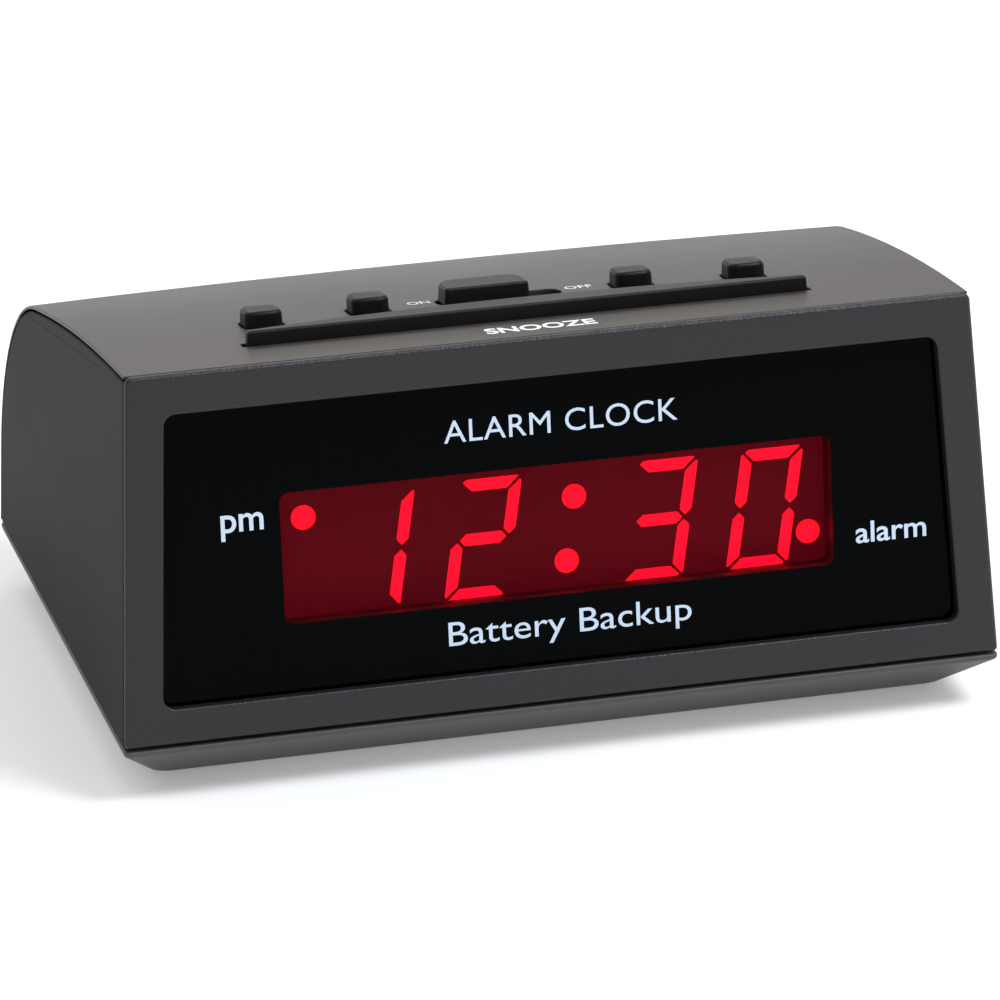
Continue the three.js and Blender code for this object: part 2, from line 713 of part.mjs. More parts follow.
// One level of the base tray: the outline at the parting line drawn in by a share of the chamfer.
function baseRing(share, inset, z, radius) {
  const x = CASE_WIDTH / 2 - inset - BASE_INSET.side * share;
  const front = atDepth(inset + BASE_INSET.front * share);
  const steps = 16;
  const back = Array.from({ length: steps + 1 }, (_, i) => {
    const across = x - 2 * x * i / steps;
    return [across, atDepth(BACK_FOOT + backBow(across) - inset - BASE_INSET.back * share)];
  });
  const radii = back.map((_, i) => (i % steps === 0 ? radius : 0));
  const shape = roundedPolygon([[-x, front], [x, front], ...back], [radius, radius, ...radii]);
  return shape.getPoints(4).slice(0, -1).map((point) => new THREE.Vector3(point.x, point.y, z));
}

function baseTray() {
  const bandLow = PARTING_Z - BASE_BAND;
  const outer = toSolid(loft([
    baseRing(1, 0, FLOOR_Z, 3),
    baseRing(0, 0, bandLow, 0.8),
    baseRing(0, 0, PARTING_Z, 0.8),
  ]));
  const inner = loft([
    baseRing(1, 1.2, FLOOR_Z + WALL, 2),
    baseRing(0, WALL, bandLow, 0.8),
    baseRing(0, WALL, PARTING_Z + 5, 0.8),
  ]);
  return { outer, tray: cut(outer, inner) };
}

const CELL = { radius: 10, thickness: 3.2, low: 5.4 };
const HOLDER = { radius: 12.6, low: 4.9, high: 9.4 };
const DOOR_FLOOR = FLOOR_Z + 2.4;
const PAD_TOP = 4.6;
const MAIN_BOARD = { x: 0, depth: 44, width: 82, length: 46, low: 10.2 };
const BOARD_POSTS = [[-36, 26], [36, 26], [-36, 62], [36, 62]];

function batteryHoleDepth() {
  return (DOOR.front + DOOR.back) / 2;
}

function baseCover() {
  const { outer, tray } = baseTray();
  const padLength = DOOR.back + 3 - (DOOR.front - 4);
  const padMiddle = atDepth(DOOR.front - 4 + padLength / 2);
  const pad = toSolid(block(DOOR.tongue + 7, padLength, DOOR.x, padMiddle, FLOOR_Z, PAD_TOP)).intersect(outer);
  const run = 20;
  const doorMiddle = atDepth((DOOR.front + DOOR.back + run) / 2) - GAP / 2;
  const channel = DOOR.back - DOOR.front + run + GAP;
  const ledge = FLOOR_Z + DOOR.plate + GAP;
  let base = tray.add(pad);
  SCREWS.forEach(([x, depth]) => {
    base = base.add(toSolid(post(4.2, x, atDepth(depth), FLOOR_Z + 0.5, PARTING_Z)).intersect(outer));
  });
  BOARD_POSTS.forEach(([x, depth]) => {
    base = base.add(toSolid(post(3, x, atDepth(depth), FLOOR_Z + 1, MAIN_BOARD.low - GAP)));
  });
  const cuts = [
    block(DOOR.width + 2 * GAP, channel, DOOR.x, doorMiddle, FLOOR_Z - 1, ledge + 0.1),
    block(DOOR.tongue + 2 * GAP, channel, DOOR.x, doorMiddle, ledge, DOOR_FLOOR),
    post(CELL.radius + 1, DOOR.x, atDepth(batteryHoleDepth()), FLOOR_Z, PAD_TOP + 1, 28),
  ];
  SCREWS.forEach(([x, depth]) => {
    cuts.push(post(SCREW.radius + GAP, x, atDepth(depth), -1, PARTING_Z + 1, 12));
    cuts.push(post(SCREW.head + GAP, x, atDepth(depth), -1, FLOOR_Z + SCREW.headHeight + 0.9));
  });
  Object.values(FEET).forEach(([x, depth]) => {
    cuts.push(post(FOOT_RADIUS + GAP, x, atDepth(depth), -1, FLOOR_Z + 1.1, 20));
  });
  for (let i = 0; i < 6; i += 1) {
    const vent = roundedRectangle(2, 13, 1, -30 + 5.2 * i, atDepth(50));
    cuts.push(slab(vent, FLOOR_Z - 1, FLOOR_Z + WALL + 1, 3));
  }
  return cut(base, ...cuts);
}

// The door's lower plate is flush with the underside; its wider tongue runs on the base's ledges.
function batteryDoor() {
  const length = DOOR.back - DOOR.front;
  const middle = atDepth((DOOR.front + DOOR.back) / 2);
  const top = FLOOR_Z + DOOR.plate + GAP + 0.3;
  const grip = [0, 1, 2].map((i) => {
    return block(9, 0.8, DOOR.x, atDepth(DOOR.back - 4 - 2 * i), FLOOR_Z - 1, FLOOR_Z + 0.4);
  });
  const plate = block(DOOR.width, length, DOOR.x, middle, FLOOR_Z, top);
  const tongue = block(DOOR.tongue, length, DOOR.x, middle, FLOOR_Z + DOOR.plate + 2 * GAP, DOOR_FLOOR - GAP);
  return cut(join(plate, tongue), ...grip);
}

function batteryHolder() {
  const y = atDepth(batteryHoleDepth());
  const cup = join(post(HOLDER.radius, DOOR.x, y, HOLDER.low, HOLDER.high, 28));
  const well = post(CELL.radius + 0.6, DOOR.x, y, HOLDER.low - 1, CELL.low + CELL.thickness + 0.35, 28);
  return cut(cup, well, block(6, 8, DOOR.x, y - CELL.radius, HOLDER.low - 1, HOLDER.high + 1));
}

// A bent strip that reaches through the holder's notch and touches the cell's edge.
function batteryContact() {
  const y = atDepth(batteryHoleDepth()) - CELL.radius;
  const spring = block(4, 0.4, DOOR.x, y - 0.55, HOLDER.low + 0.4, HOLDER.high + 0.45);
  const tab = block(4, 2.2, DOOR.x, y - 1.45, HOLDER.low + 0.4, HOLDER.low + 0.8);
  return join(spring, tab);
}

function caseScrew(x, depth) {
  const seat = FLOOR_Z + 0.6;
  const neck = seat + SCREW.headHeight;
  const outline = [[0, seat], [SCREW.head, seat], [SCREW.head, neck - 0.5], [SCREW.radius, neck],
    [SCREW.radius, neck + SCREW.length - 1.5], [0, neck + SCREW.length]];
  const turned = new THREE.LatheGeometry(outline.map(([r, z]) => new THREE.Vector2(r, z)), 12);
  const body = toSolid(turned.rotateX(Math.PI / 2));
  const slots = [0, 1].map((turn) => {
    return block(3, 0.7, 0, 0, seat - 1, seat + 1).rotateZ(turn * Math.PI / 2);
  });
  return toGeometry(cut(body, ...slots)).translate(x, atDepth(depth), 0);
}

function buildBase() {
  addPart('base_cover', baseCover(), finish.base());
  Object.entries(FEET).forEach(([name, [x, depth]]) => {
    const foot = post(FOOT_RADIUS, x, atDepth(depth), 0, FLOOR_Z + 0.8, 20);
    addPart(`foot_${name}`, foot, finish.rubber());
  });
  SCREWS.forEach(([x, depth], i) => {
    addPart(`case_screw_${i + 1}`, caseScrew(x, depth), finish.steel());
  });
  addPart('battery_door', batteryDoor(), finish.base());
  addPart('battery_holder', batteryHolder(), finish.chip());
  const y = atDepth(batteryHoleDepth());
  addPart('coin_cell', post(CELL.radius, DOOR.x, y, CELL.low, CELL.low + CELL.thickness, 28), finish.steel());
  addPart('battery_contact', batteryContact(), finish.brass());
}

// ---------------------------------------------------------------- main board and what it carries

const BOARD_TOP = MAIN_BOARD.low + BOARD_THICKNESS;
const PARTS_Z = BOARD_TOP + GAP;

function mainBoard() {
  const { x, depth, width, length, low } = MAIN_BOARD;
  return slab(roundedRectangle(width, length, 1, x, atDepth(depth)), low, low + BOARD_THICKNESS);
}

const CORE = { x: -22, depth: 52, width: 30, length: 12, height: 25, leg: 4.5 };

// The laminated core: a frame with a middle leg, standing on one long side.
function transformerCore() {
  const { x, depth, width, length, height, leg } = CORE;
  const y = atDepth(depth);
  const whole = join(block(width, length, x, y, PARTS_Z, PARTS_Z + height));
  const opening = (width - 4 * leg) / 2;
  const windows = [-1, 1].map((side) => {
    const middle = x + side * (leg + opening / 2);
    return block(opening, length + 2, middle, y, PARTS_Z + leg, PARTS_Z + height - leg);
  });
  return cut(whole, ...windows);
}

// The winding is a square tube round the middle leg, on its bobbin.
function transformerWinding() {
  const { x, depth, height, length, leg, width } = CORE;
  const opening = (width - 4 * leg) / 2;
  const low = PARTS_Z + leg + GAP;
  const high = PARTS_Z + height - leg - GAP;
  const thick = opening - 2 * GAP;
  const outer = roundedRectangle(2 * (leg + GAP + thick), length + 2 * (GAP + thick), 2, x, atDepth(depth));
  const coil = join(slab(outer, low, high));
  return cut(coil, block(2 * (leg + GAP), length + 2 * GAP, x, atDepth(depth), low - 1, high + 1));
}

function clockChip() {
  const body = block(35, 8.5, 14, atDepth(30), PARTS_Z + 0.6, PARTS_Z + 4);
  return cut(join(body), post(1, 14 - 17.5, atDepth(30), PARTS_Z + 3.2, PARTS_Z + 5, 10));
}

function buzzer() {
  const { x, y } = { x: 24, y: atDepth(52) };
  const can = join(post(7, x, y, PARTS_Z, PARTS_Z + 7.5, 24));
  return cut(can, post(1.2, x, y, PARTS_Z + 5, PARTS_Z + 9, 10));
}

// The flat cable rises from the main board, crosses forward and turns up behind the display board.
function displayRibbon() {
  const width = 16;
  const path = [[31, PARTS_Z + 0.5], [31, 17], [24, 19.5], [17.3, 19.5]];
  const thick = 0.7;
  const pieces = path.slice(1).map(([y1, z1], i) => {
    const [y0, z0] = path[i];
    const run = Math.hypot(y1 - y0, z1 - z0) + thick;
    const bar = new THREE.BoxGeometry(width, run, thick);
    return bar.rotateX(Math.atan2(z1 - z0, y1 - y0)).translate(-20, atDepth((y0 + y1) / 2), (z0 + z1) / 2);
  });
  return join(...pieces);
}

function buildElectronics() {
  addPart('main_board', mainBoard(), finish.board());
  addPart('transformer_core', transformerCore(), finish.core());
  addPart('transformer_winding', transformerWinding(), finish.bobbin());
  addPart('clock_chip', clockChip(), finish.chip());
  addPart('filter_capacitor', post(5, 4, atDepth(58), PARTS_Z, PARTS_Z + 13, 20), finish.sleeve());
  addPart('alarm_buzzer', buzzer(), finish.chip());
  addPart('bridge_rectifier', block(6, 5, 4, atDepth(47), PARTS_Z, PARTS_Z + 5), finish.chip());
  addPart('display_ribbon', displayRibbon(), finish.ribbon());
}

buildFront();
buildRoof();
buildSides();
buildBase();
buildElectronics();

export default clock;
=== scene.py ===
import math

import bmesh
import bpy
from mathutils import Matrix, Vector


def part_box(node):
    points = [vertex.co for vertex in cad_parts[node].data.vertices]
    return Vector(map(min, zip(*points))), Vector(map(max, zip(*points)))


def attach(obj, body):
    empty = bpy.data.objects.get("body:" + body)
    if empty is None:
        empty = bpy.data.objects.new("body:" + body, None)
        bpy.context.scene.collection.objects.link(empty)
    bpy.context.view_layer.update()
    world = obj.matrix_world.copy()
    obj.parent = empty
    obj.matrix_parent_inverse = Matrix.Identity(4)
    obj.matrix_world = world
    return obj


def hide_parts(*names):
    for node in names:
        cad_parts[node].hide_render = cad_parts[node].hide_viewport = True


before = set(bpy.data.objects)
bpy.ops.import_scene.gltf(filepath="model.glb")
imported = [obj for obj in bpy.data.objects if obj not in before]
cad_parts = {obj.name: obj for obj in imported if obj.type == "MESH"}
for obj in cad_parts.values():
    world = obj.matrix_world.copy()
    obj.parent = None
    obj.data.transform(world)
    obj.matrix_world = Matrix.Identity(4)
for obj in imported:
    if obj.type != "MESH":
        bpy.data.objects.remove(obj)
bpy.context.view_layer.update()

mm = 0.001

# ------------------------------------------------------------------ camera
# A long lens looking down on the clock from its front left, rolled by a fifth of a degree.  The aim
# point is inside the case, and the small shift keeps it a little above the picture's middle.

camera_yaw = math.radians(15.13)
camera_pitch = math.radians(22.38)
camera_roll = math.radians(-0.2)
camera_distance = 902.5 * mm
aim = Vector((0, -11.75, 25.8)) * mm
away = Vector((
    -math.sin(camera_yaw) * math.cos(camera_pitch),
    -math.cos(camera_yaw) * math.cos(camera_pitch),
    math.sin(camera_pitch),
))
level = Vector((0, 0, 1)).cross(away).normalized()
right = Matrix.Rotation(camera_roll, 3, away) @ level
upward = away.cross(right)
lens_data = bpy.data.cameras.new("studio_camera")
lens_data.lens = 257.47
lens_data.shift_x = -0.0045
lens_data.shift_y = -0.0264
lens_data.clip_end = 20
camera = bpy.data.objects.new("studio_camera", lens_data)
axes = Matrix((right, upward, away)).transposed()
camera.matrix_world = Matrix.Translation(aim + away * camera_distance) @ axes.to_4x4()
bpy.context.scene.collection.objects.link(camera)
bpy.context.scene.camera = camera
bpy.context.scene.view_settings.view_transform = "Standard"

# ------------------------------------------------------------------ studio
# A pale sheet lit a little from below, a soft box high on the right, one behind, and an even sky.


def add_node(tree, kind, **settings):
    node = tree.nodes.new(kind)
    for key, value in settings.items():
        if key in node.inputs:
            node.inputs[key].default_value = value
        else:
            setattr(node, key, value)
    return node


def new_material(name):
    material = bpy.data.materials.new(name)
    material.use_nodes = True
    tree = material.node_tree
    shader = tree.nodes["Principled BSDF"]
    return material, tree, shader


def object_coordinates(tree, stretch=(1, 1, 1)):
    coordinates = add_node(tree, "ShaderNodeTexCoord")
    mapping = add_node(tree, "ShaderNodeMapping", Scale=stretch)
    tree.links.new(coordinates.outputs["Object"], mapping.inputs["Vector"])
    return mapping.outputs["Vector"]


def tone_variation(tree, shader, where, colour, amount, scale):
    noise = add_node(tree, "ShaderNodeTexNoise", Scale=scale, Detail=3.0)
    tree.links.new(where, noise.inputs["Vector"])
    mix = add_node(tree, "ShaderNodeMix", data_type="RGBA")
    mix.inputs["A"].default_value = (*[c * (1 - amount) for c in colour], 1)
    mix.inputs["B"].default_value = (*[c * (1 + amount) for c in colour], 1)
    tree.links.new(noise.outputs["Fac"], mix.inputs["Factor"])
    tree.links.new(mix.outputs["Result"], shader.inputs["Base Color"])
    return noise


def floor_paper():
    material, tree, shader = new_material("floor_paper")
    where = object_coordinates(tree)
    tone_variation(tree, shader, where, (0.8, 0.8, 0.8), 0.01, 3.0)
    shader.inputs["Roughness"].default_value = 0.9
    shader.inputs["Specular IOR Level"].default_value = 0.1
    shader.inputs["Emission Color"].default_value = (1.0, 0.99, 0.98, 1)
    shader.inputs["Emission Strength"].default_value = 0.24
    return material


def add_floor(half_size):
    mesh = bpy.data.meshes.new("studio_floor")
    corners = [(-half_size, -half_size, 0), (half_size, -half_size, 0)]
    corners += [(half_size, half_size, 0), (-half_size, half_size, 0)]
    mesh.from_pydata(corners, [], [(0, 1, 2, 3)])
    floor = bpy.data.objects.new("studio_floor", mesh)
    mesh.materials.append(floor_paper())
    bpy.context.scene.collection.objects.link(floor)


def add_soft_box(name, place, size, power, colour=(1, 1, 1)):
    light = bpy.data.lights.new(name, "AREA")
    light.shape = "RECTANGLE"
    light.size, light.size_y = size
    light.energy = power
    light.color = colour
    box = bpy.data.objects.new(name, light)
    box.location = place
    box.rotation_euler = (Vector(place) - aim).to_track_quat("Z", "Y").to_euler()
    bpy.context.scene.collection.objects.link(box)
    return box


add_floor(3.0)
add_soft_box("right_soft_box", (0.42, -0.28, 0.75), (0.4, 0.3), 6.0, (0.93, 0.96, 1.0))
add_soft_box("back_soft_box", (-0.1, 0.9, 0.75), (1.2, 0.6), 7.0, (1.0, 0.97, 0.94))
world = bpy.data.worlds.new("studio_sky")
world.use_nodes = True
world.node_tree.nodes["Background"].inputs["Color"].default_value = (0.95, 0.97, 1.0, 1)
world.node_tree.nodes["Background"].inputs["Strength"].default_value = 0.62
bpy.context.scene.world = world

# ------------------------------------------------------------------ base tray
# The tray that the clock stands on: satin dark grey plastic, moulded in one piece with a chamfer
# all round, a narrow upright band under the seam, bosses for the case screws and a battery bay.


def add_bump(tree, shader, heights, strength, distance):
    bump = add_node(tree, "ShaderNodeBump", Strength=strength, Distance=distance)
    tree.links.new(heights, bump.inputs["Height"])
    tree.links.new(bump.outputs["Normal"], shader.inputs["Normal"])


def vary_roughness(tree, shader, factor, low, high):
    spread = add_node(tree, "ShaderNodeMapRange")
    spread.inputs["To Min"].default_value = low
    spread.inputs["To Max"].default_value = high
    tree.links.new(factor, spread.inputs["Value"])
    tree.links.new(spread.outputs["Result"], shader.inputs["Roughness"])


def moulded_plastic(
    name, colour, roughness, grain, depth, specular=0.5, variation=0.06, sheen=(1, 1, 1),
):
    """Plastic with an etched grain: grain is its size and depth its height, both in millimetres."""
    material, tree, shader = new_material(name)
    where = object_coordinates(tree)
    tone_variation(tree, shader, where, colour, variation, 60.0)
    shader.inputs["Specular IOR Level"].default_value = specular
    shader.inputs["Specular Tint"].default_value = (*sheen, 1)
    pits = add_node(tree, "ShaderNodeTexVoronoi", Scale=1 / (grain * mm))
    fine = add_node(tree, "ShaderNodeTexNoise", Scale=1.6 / (grain * mm), Detail=4.0)
    tree.links.new(where, pits.inputs["Vector"])
    tree.links.new(where, fine.inputs["Vector"])
    heights = add_node(tree, "ShaderNodeMath", operation="ADD")
    tree.links.new(pits.outputs["Distance"], heights.inputs[0])
    tree.links.new(fine.outputs["Fac"], heights.inputs[1])
    add_bump(tree, shader, heights.outputs[0], 1.0, depth * mm)
    worn = add_node(tree, "ShaderNodeTexNoise", Scale=35.0, Detail=5.0)
    tree.links.new(where, worn.inputs["Vector"])
    vary_roughness(tree, shader, worn.outputs["Fac"], roughness - 0.05, roughness + 0.05)
    return material


def mesh_from(name, shape):
    """A plain mesh from a bmesh, which is freed."""
    mesh = bpy.data.meshes.new(name)
    shape.to_mesh(mesh)
    shape.free()
    return mesh


def link_mesh(name, mesh):
    piece = bpy.data.objects.new(name, mesh)
    bpy.context.scene.collection.objects.link(piece)
    return piece


def settle_normals(mesh, sharp_degrees=50):
    """Smooth shading that keeps flat faces flat and breaks at real corners."""
    for face in mesh.polygons:
        face.use_smooth = True
    mesh.set_sharp_from_angle(angle=math.radians(sharp_degrees))
    holder = link_mesh("normals_holder", mesh)
    holder.modifiers.new("weighted", "WEIGHTED_NORMAL").keep_sharp = True
    graph = bpy.context.evaluated_depsgraph_get()
    settled = bpy.data.meshes.new_from_object(holder.evaluated_get(graph), depsgraph=graph)
    bpy.data.objects.remove(holder)
    return settled


def eased_copy(name, node, easings, material, body="case"):
    """The CAD node's own shape with its corners eased: easings are (radius, steps, which edges)."""
    shape = bmesh.new()
    shape.from_mesh(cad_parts[node].data)
    bmesh.ops.remove_doubles(shape, verts=shape.verts, dist=0.002 * mm)
    flat = math.radians(0.4)
    bmesh.ops.dissolve_limit(shape, angle_limit=flat, verts=shape.verts, edges=shape.edges)
    corners = [edge for edge in shape.edges if edge.calc_face_angle(0) > math.radians(25)]
    picked = [[] for _ in easings]
    for edge in corners:
        middle = (edge.verts[0].co + edge.verts[1].co) / 2
        for group, (_, _, chosen) in zip(picked, easings):
            if chosen(middle):
                group.append(edge)
                break
    for group, (radius, steps, _) in zip(picked, easings):
        live = [edge for edge in group if edge.is_valid]
        bmesh.ops.bevel(
            shape, geom=live, offset=radius * mm, segments=steps, profile=0.5,
            affect="EDGES", clamp_overlap=False, loop_slide=True,
        )
    mesh = mesh_from(name, shape)
    piece = link_mesh(name, settle_normals(mesh))
    piece.data.materials.append(material)
    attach(piece, body)
    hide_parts(node)
    return piece


def anywhere(point):
    return True


base_plastic = moulded_plastic("base_plastic", (0.052, 0.051, 0.050), 0.5, 0.22, 0.006)
eased_copy("base_tray", "base_cover", [(0.25, 3, anywhere)], base_plastic)

# ------------------------------------------------------------------ feet
# Four stamped rubber discs stuck in round recesses under the tray, each domed a little at its rim.


def turned_mesh(name, profile, sides):
    """A round solid about +Z from (radius, height) points that start and end on the axis."""
    shape = bmesh.new()
    rings = []
    for radius, height in profile:
        if radius == 0:
            rings.append([shape.verts.new((0, 0, height * mm))])
            continue
        angles = [2 * math.pi * i / sides for i in range(sides)]
        rings.append([
            shape.verts.new((radius * mm * math.cos(a), radius * mm * math.sin(a), height * mm))
            for a in angles
        ])
    for low, high in zip(rings, rings[1:]):
        for i in range(sides):
            j = (i + 1) % sides
            ring = [low[i % len(low)], low[j % len(low)], high[j % len(high)], high[i % len(high)]]
            corners = list(dict.fromkeys(ring))
            if len(corners) > 2:
                shape.faces.new(corners)
    bmesh.ops.recalc_face_normals(shape, faces=shape.faces)
    return mesh_from(name, shape)


def setting_out_tree():
    """Geometry Nodes: a copy of one piece on every point of the mesh, or along an added row."""
    tree = bpy.data.node_groups.new("set_out_pieces", "GeometryNodeTree")
    face = tree.interface
    face.new_socket("Points", in_out="INPUT", socket_type="NodeSocketGeometry")
    face.new_socket("Piece", in_out="INPUT", socket_type="NodeSocketObject")
    face.new_socket("Row Count", in_out="INPUT", socket_type="NodeSocketInt")
    face.new_socket("Row Step", in_out="INPUT", socket_type="NodeSocketVector")
    face.new_socket("Material", in_out="INPUT", socket_type="NodeSocketMaterial")
    face.new_socket("Pieces", in_out="OUTPUT", socket_type="NodeSocketGeometry")
    given = add_node(tree, "NodeGroupInput")
    result = add_node(tree, "NodeGroupOutput")
    row = add_node(tree, "GeometryNodeMeshLine", mode="OFFSET")
    on_points = add_node(tree, "GeometryNodeInstanceOnPoints")
    rows = add_node(tree, "GeometryNodeInstanceOnPoints")
    info = add_node(tree, "GeometryNodeObjectInfo", transform_space="ORIGINAL")
    realize = add_node(tree, "GeometryNodeRealizeInstances")
    paint = add_node(tree, "GeometryNodeSetMaterial")
    links = tree.links
    links.new(given.outputs["Row Count"], row.inputs["Count"])
    links.new(given.outputs["Row Step"], row.inputs["Offset"])
    links.new(given.outputs["Piece"], info.inputs["Object"])
    links.new(given.outputs["Points"], on_points.inputs["Points"])
    links.new(row.outputs["Mesh"], on_points.inputs["Instance"])
    spread = add_node(tree, "GeometryNodeRealizeInstances")
    links.new(on_points.outputs["Instances"], spread.inputs["Geometry"])
    links.new(spread.outputs["Geometry"], rows.inputs["Points"])
    links.new(info.outputs["Geometry"], rows.inputs["Instance"])
    links.new(rows.outputs["Instances"], realize.inputs["Geometry"])
    links.new(realize.outputs["Geometry"], paint.inputs["Geometry"])
    links.new(given.outputs["Material"], paint.inputs["Material"])
    links.new(paint.outputs["Geometry"], result.inputs["Pieces"])
    return tree


set_out_pieces = setting_out_tree()


def set_out(name, piece_mesh, points, material, count=1, step=(0, 0, 0)):
    """One plain mesh of copies of piece_mesh at each point, repeated count times along step."""
    pattern = link_mesh("pattern_piece", piece_mesh)
    dots = bpy.data.meshes.new("points")
    dots.from_pydata([Vector(point) * mm for point in points], [], [])
    holder = link_mesh("points_holder", dots)
    modifier = holder.modifiers.new("set_out", "NODES")
    modifier.node_group = set_out_pieces
    values = {
        "Piece": pattern, "Row Count": count, "Row Step": Vector(step) * mm, "Material": material,
    }
    for socket in set_out_pieces.interface.items_tree:
        if socket.in_out == "INPUT" and socket.name in values:
            modifier[socket.identifier] = values[socket.name]
    graph = bpy.context.evaluated_depsgraph_get()
    mesh = bpy.data.meshes.new_from_object(holder.evaluated_get(graph), depsgraph=graph)
    bpy.data.objects.remove(holder)
    bpy.data.objects.remove(pattern)
    mesh.name = name
    return link_mesh(name, settle_normals(mesh, 35))


def middle_of(node):
    low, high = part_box(node)
    return (low + high) / 2 / mm


def rubber():
    material, tree, shader = new_material("foot_rubber")
    where = object_coordinates(tree)
    tone_variation(tree, shader, where, (0.018, 0.018, 0.019), 0.15, 400.0)
    grit = add_node(tree, "ShaderNodeTexNoise", Scale=3000.0, Detail=3.0)
    tree.links.new(where, grit.inputs["Vector"])
    add_bump(tree, shader, grit.outputs["Fac"], 0.6, 0.02 * mm)
    shader.inputs["Roughness"].default_value = 0.85
    shader.inputs["Specular IOR Level"].default_value = 0.3
    return material


foot_rubber = rubber()
foot_nodes = ["foot_front_left", "foot_front_right", "foot_rear_left", "foot_rear_right"]
foot_profile = [(0, 0), (3.4, 0), (3.8, 0.12), (4, 0.4), (4, 1.5), (3.9, 1.6), (0, 1.6)]
foot_points = [(middle_of(node).x, middle_of(node).y, 0) for node in foot_nodes]
feet = set_out("feet", turned_mesh("foot", foot_profile, 40), foot_points, foot_rubber)
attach(feet, "case")
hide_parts(*foot_nodes)

# ------------------------------------------------------------------ battery bay
# A door that slides out of the tray's rear, over a coin cell in a black holder with a brass
# contact: together they keep the time when the mains fails.

eased_copy(
    "battery_bay_door", "battery_door", [(0.15, 2, anywhere)], base_plastic,
    "battery_door_body",
)


def repaint(material, *nodes):
    """Gives CAD nodes their finished material."""
    for node in nodes:
        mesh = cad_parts[node].data
        mesh.materials.clear()
        mesh.materials.append(material)


def plated_metal(name, colour, roughness, stretch=(1, 1, 1)):
    """Metal with fine directional marks: the stretch makes them long across its small axis."""
    material, tree, shader = new_material(name)
    where = object_coordinates(tree, stretch)
    tone_variation(tree, shader, where, colour, 0.08, 900.0)
    shader.inputs["Metallic"].default_value = 1.0
    marks = add_node(tree, "ShaderNodeTexNoise", Scale=2500.0, Detail=5.0)
    tree.links.new(where, marks.inputs["Vector"])
    add_bump(tree, shader, marks.outputs["Fac"], 0.4, 0.004 * mm)
    vary_roughness(tree, shader, marks.outputs["Fac"], roughness * 0.7, roughness * 1.3)
    return material


nickel = plated_metal("nickel_plate", (0.62, 0.61, 0.58), 0.25, (1, 0.05, 1))
black_moulding = moulded_plastic("black_moulding", (0.012, 0.012, 0.013), 0.5, 0.3, 0.01)
repaint(nickel, "coin_cell", "slide_switch")
repaint(black_moulding, "battery_holder", "slide_lever", "bridge_rectifier")
repaint(plated_metal("spring_brass", (0.72, 0.55, 0.25), 0.3, (1, 1, 0.05)), "battery_contact")

# ------------------------------------------------------------------ circuit boards
# Green glass-epoxy boards: the main board on the tray's posts, the display board behind the
# numerals and the key board under the roof.


def circuit_laminate():
    material, tree, shader = new_material("circuit_laminate")
    where = object_coordinates(tree)
    tracks = add_node(tree, "ShaderNodeTexBrick", Scale=170.0)
    tracks.inputs["Color1"].default_value = (0.012, 0.085, 0.03, 1)
    tracks.inputs["Color2"].default_value = (0.015, 0.10, 0.035, 1)
    tracks.inputs["Mortar"].default_value = (0.05, 0.19, 0.08, 1)
    tracks.inputs["Mortar Size"].default_value = 0.06
    tree.links.new(where, tracks.inputs["Vector"])
    tree.links.new(tracks.outputs["Color"], shader.inputs["Base Color"])
    weave = add_node(tree, "ShaderNodeTexNoise", Scale=2200.0, Detail=2.0)
    tree.links.new(where, weave.inputs["Vector"])
    add_bump(tree, shader, weave.outputs["Fac"], 0.3, 0.01 * mm)
    shader.inputs["Roughness"].default_value = 0.35
    return material


repaint(circuit_laminate(), "main_board", "display_board", "key_board")

# ------------------------------------------------------------------ mains transformer
# A stack of varnished steel laminations with a taped copper winding round its middle leg, soldered
# to the main board's left side.


def banded_material(name, light, dark, direction, scale, roughness, metallic=0.0):
    material, tree, shader = new_material(name)
    where = object_coordinates(tree)
    bands = add_node(tree, "ShaderNodeTexWave", bands_direction=direction, Scale=scale)
    bands.inputs["Distortion"].default_value = 0.6
    tree.links.new(where, bands.inputs["Vector"])
    mix = add_node(tree, "ShaderNodeMix", data_type="RGBA")
    mix.inputs["A"].default_value = (*dark, 1)
    mix.inputs["B"].default_value = (*light, 1)
    tree.links.new(bands.outputs["Fac"], mix.inputs["Factor"])
    tree.links.new(mix.outputs["Result"], shader.inputs["Base Color"])
    add_bump(tree, shader, bands.outputs["Fac"], 0.7, 0.05 * mm)
    shader.inputs["Roughness"].default_value = roughness
    shader.inputs["Metallic"].default_value = metallic
    return material


def lamination_mesh():
    """One E-and-I lamination, edge on to Y: an outer frame with two windows beside its leg."""
    low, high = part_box("transformer_core")
    leg = 4.5 * mm
    middle = (low.x + high.x) / 2
    columns = [low.x, low.x + leg, middle - leg, middle + leg, high.x - leg, high.x]
    rows = [low.z, low.z + leg, high.z - leg, high.z]
    thick = 0.44 * mm
    shape = bmesh.new()
    grid = [[[shape.verts.new((x, y, z)) for x in columns] for z in rows] for y in (0, thick)]
    holes = {(1, 1), (3, 1)}
    cells = [(i, j) for i in range(5) for j in range(3) if (i, j) not in holes]
    for i, j in cells:
        front, back = grid
        shape.faces.new([front[j][i], front[j][i + 1], front[j + 1][i + 1], front[j + 1][i]])
        shape.faces.new([back[j][i], back[j + 1][i], back[j + 1][i + 1], back[j][i + 1]])
    bare = [edge for edge in shape.edges if len(edge.link_faces) == 1]
    pairs = {}
    for edge in bare:
        key = tuple(sorted((round(v.co.x, 6), round(v.co.z, 6)) for v in edge.verts))
        pairs.setdefault(key, []).append(edge)
    for near, far in pairs.values():
        a, b = near.verts
        c = next(v for v in far.verts if (v.co - a.co).length < thick * 1.5)
        d = far.other_vert(c)
        shape.faces.new([a, b, d, c])
    bmesh.ops.recalc_face_normals(shape, faces=shape.faces)
    return mesh_from("lamination", shape)


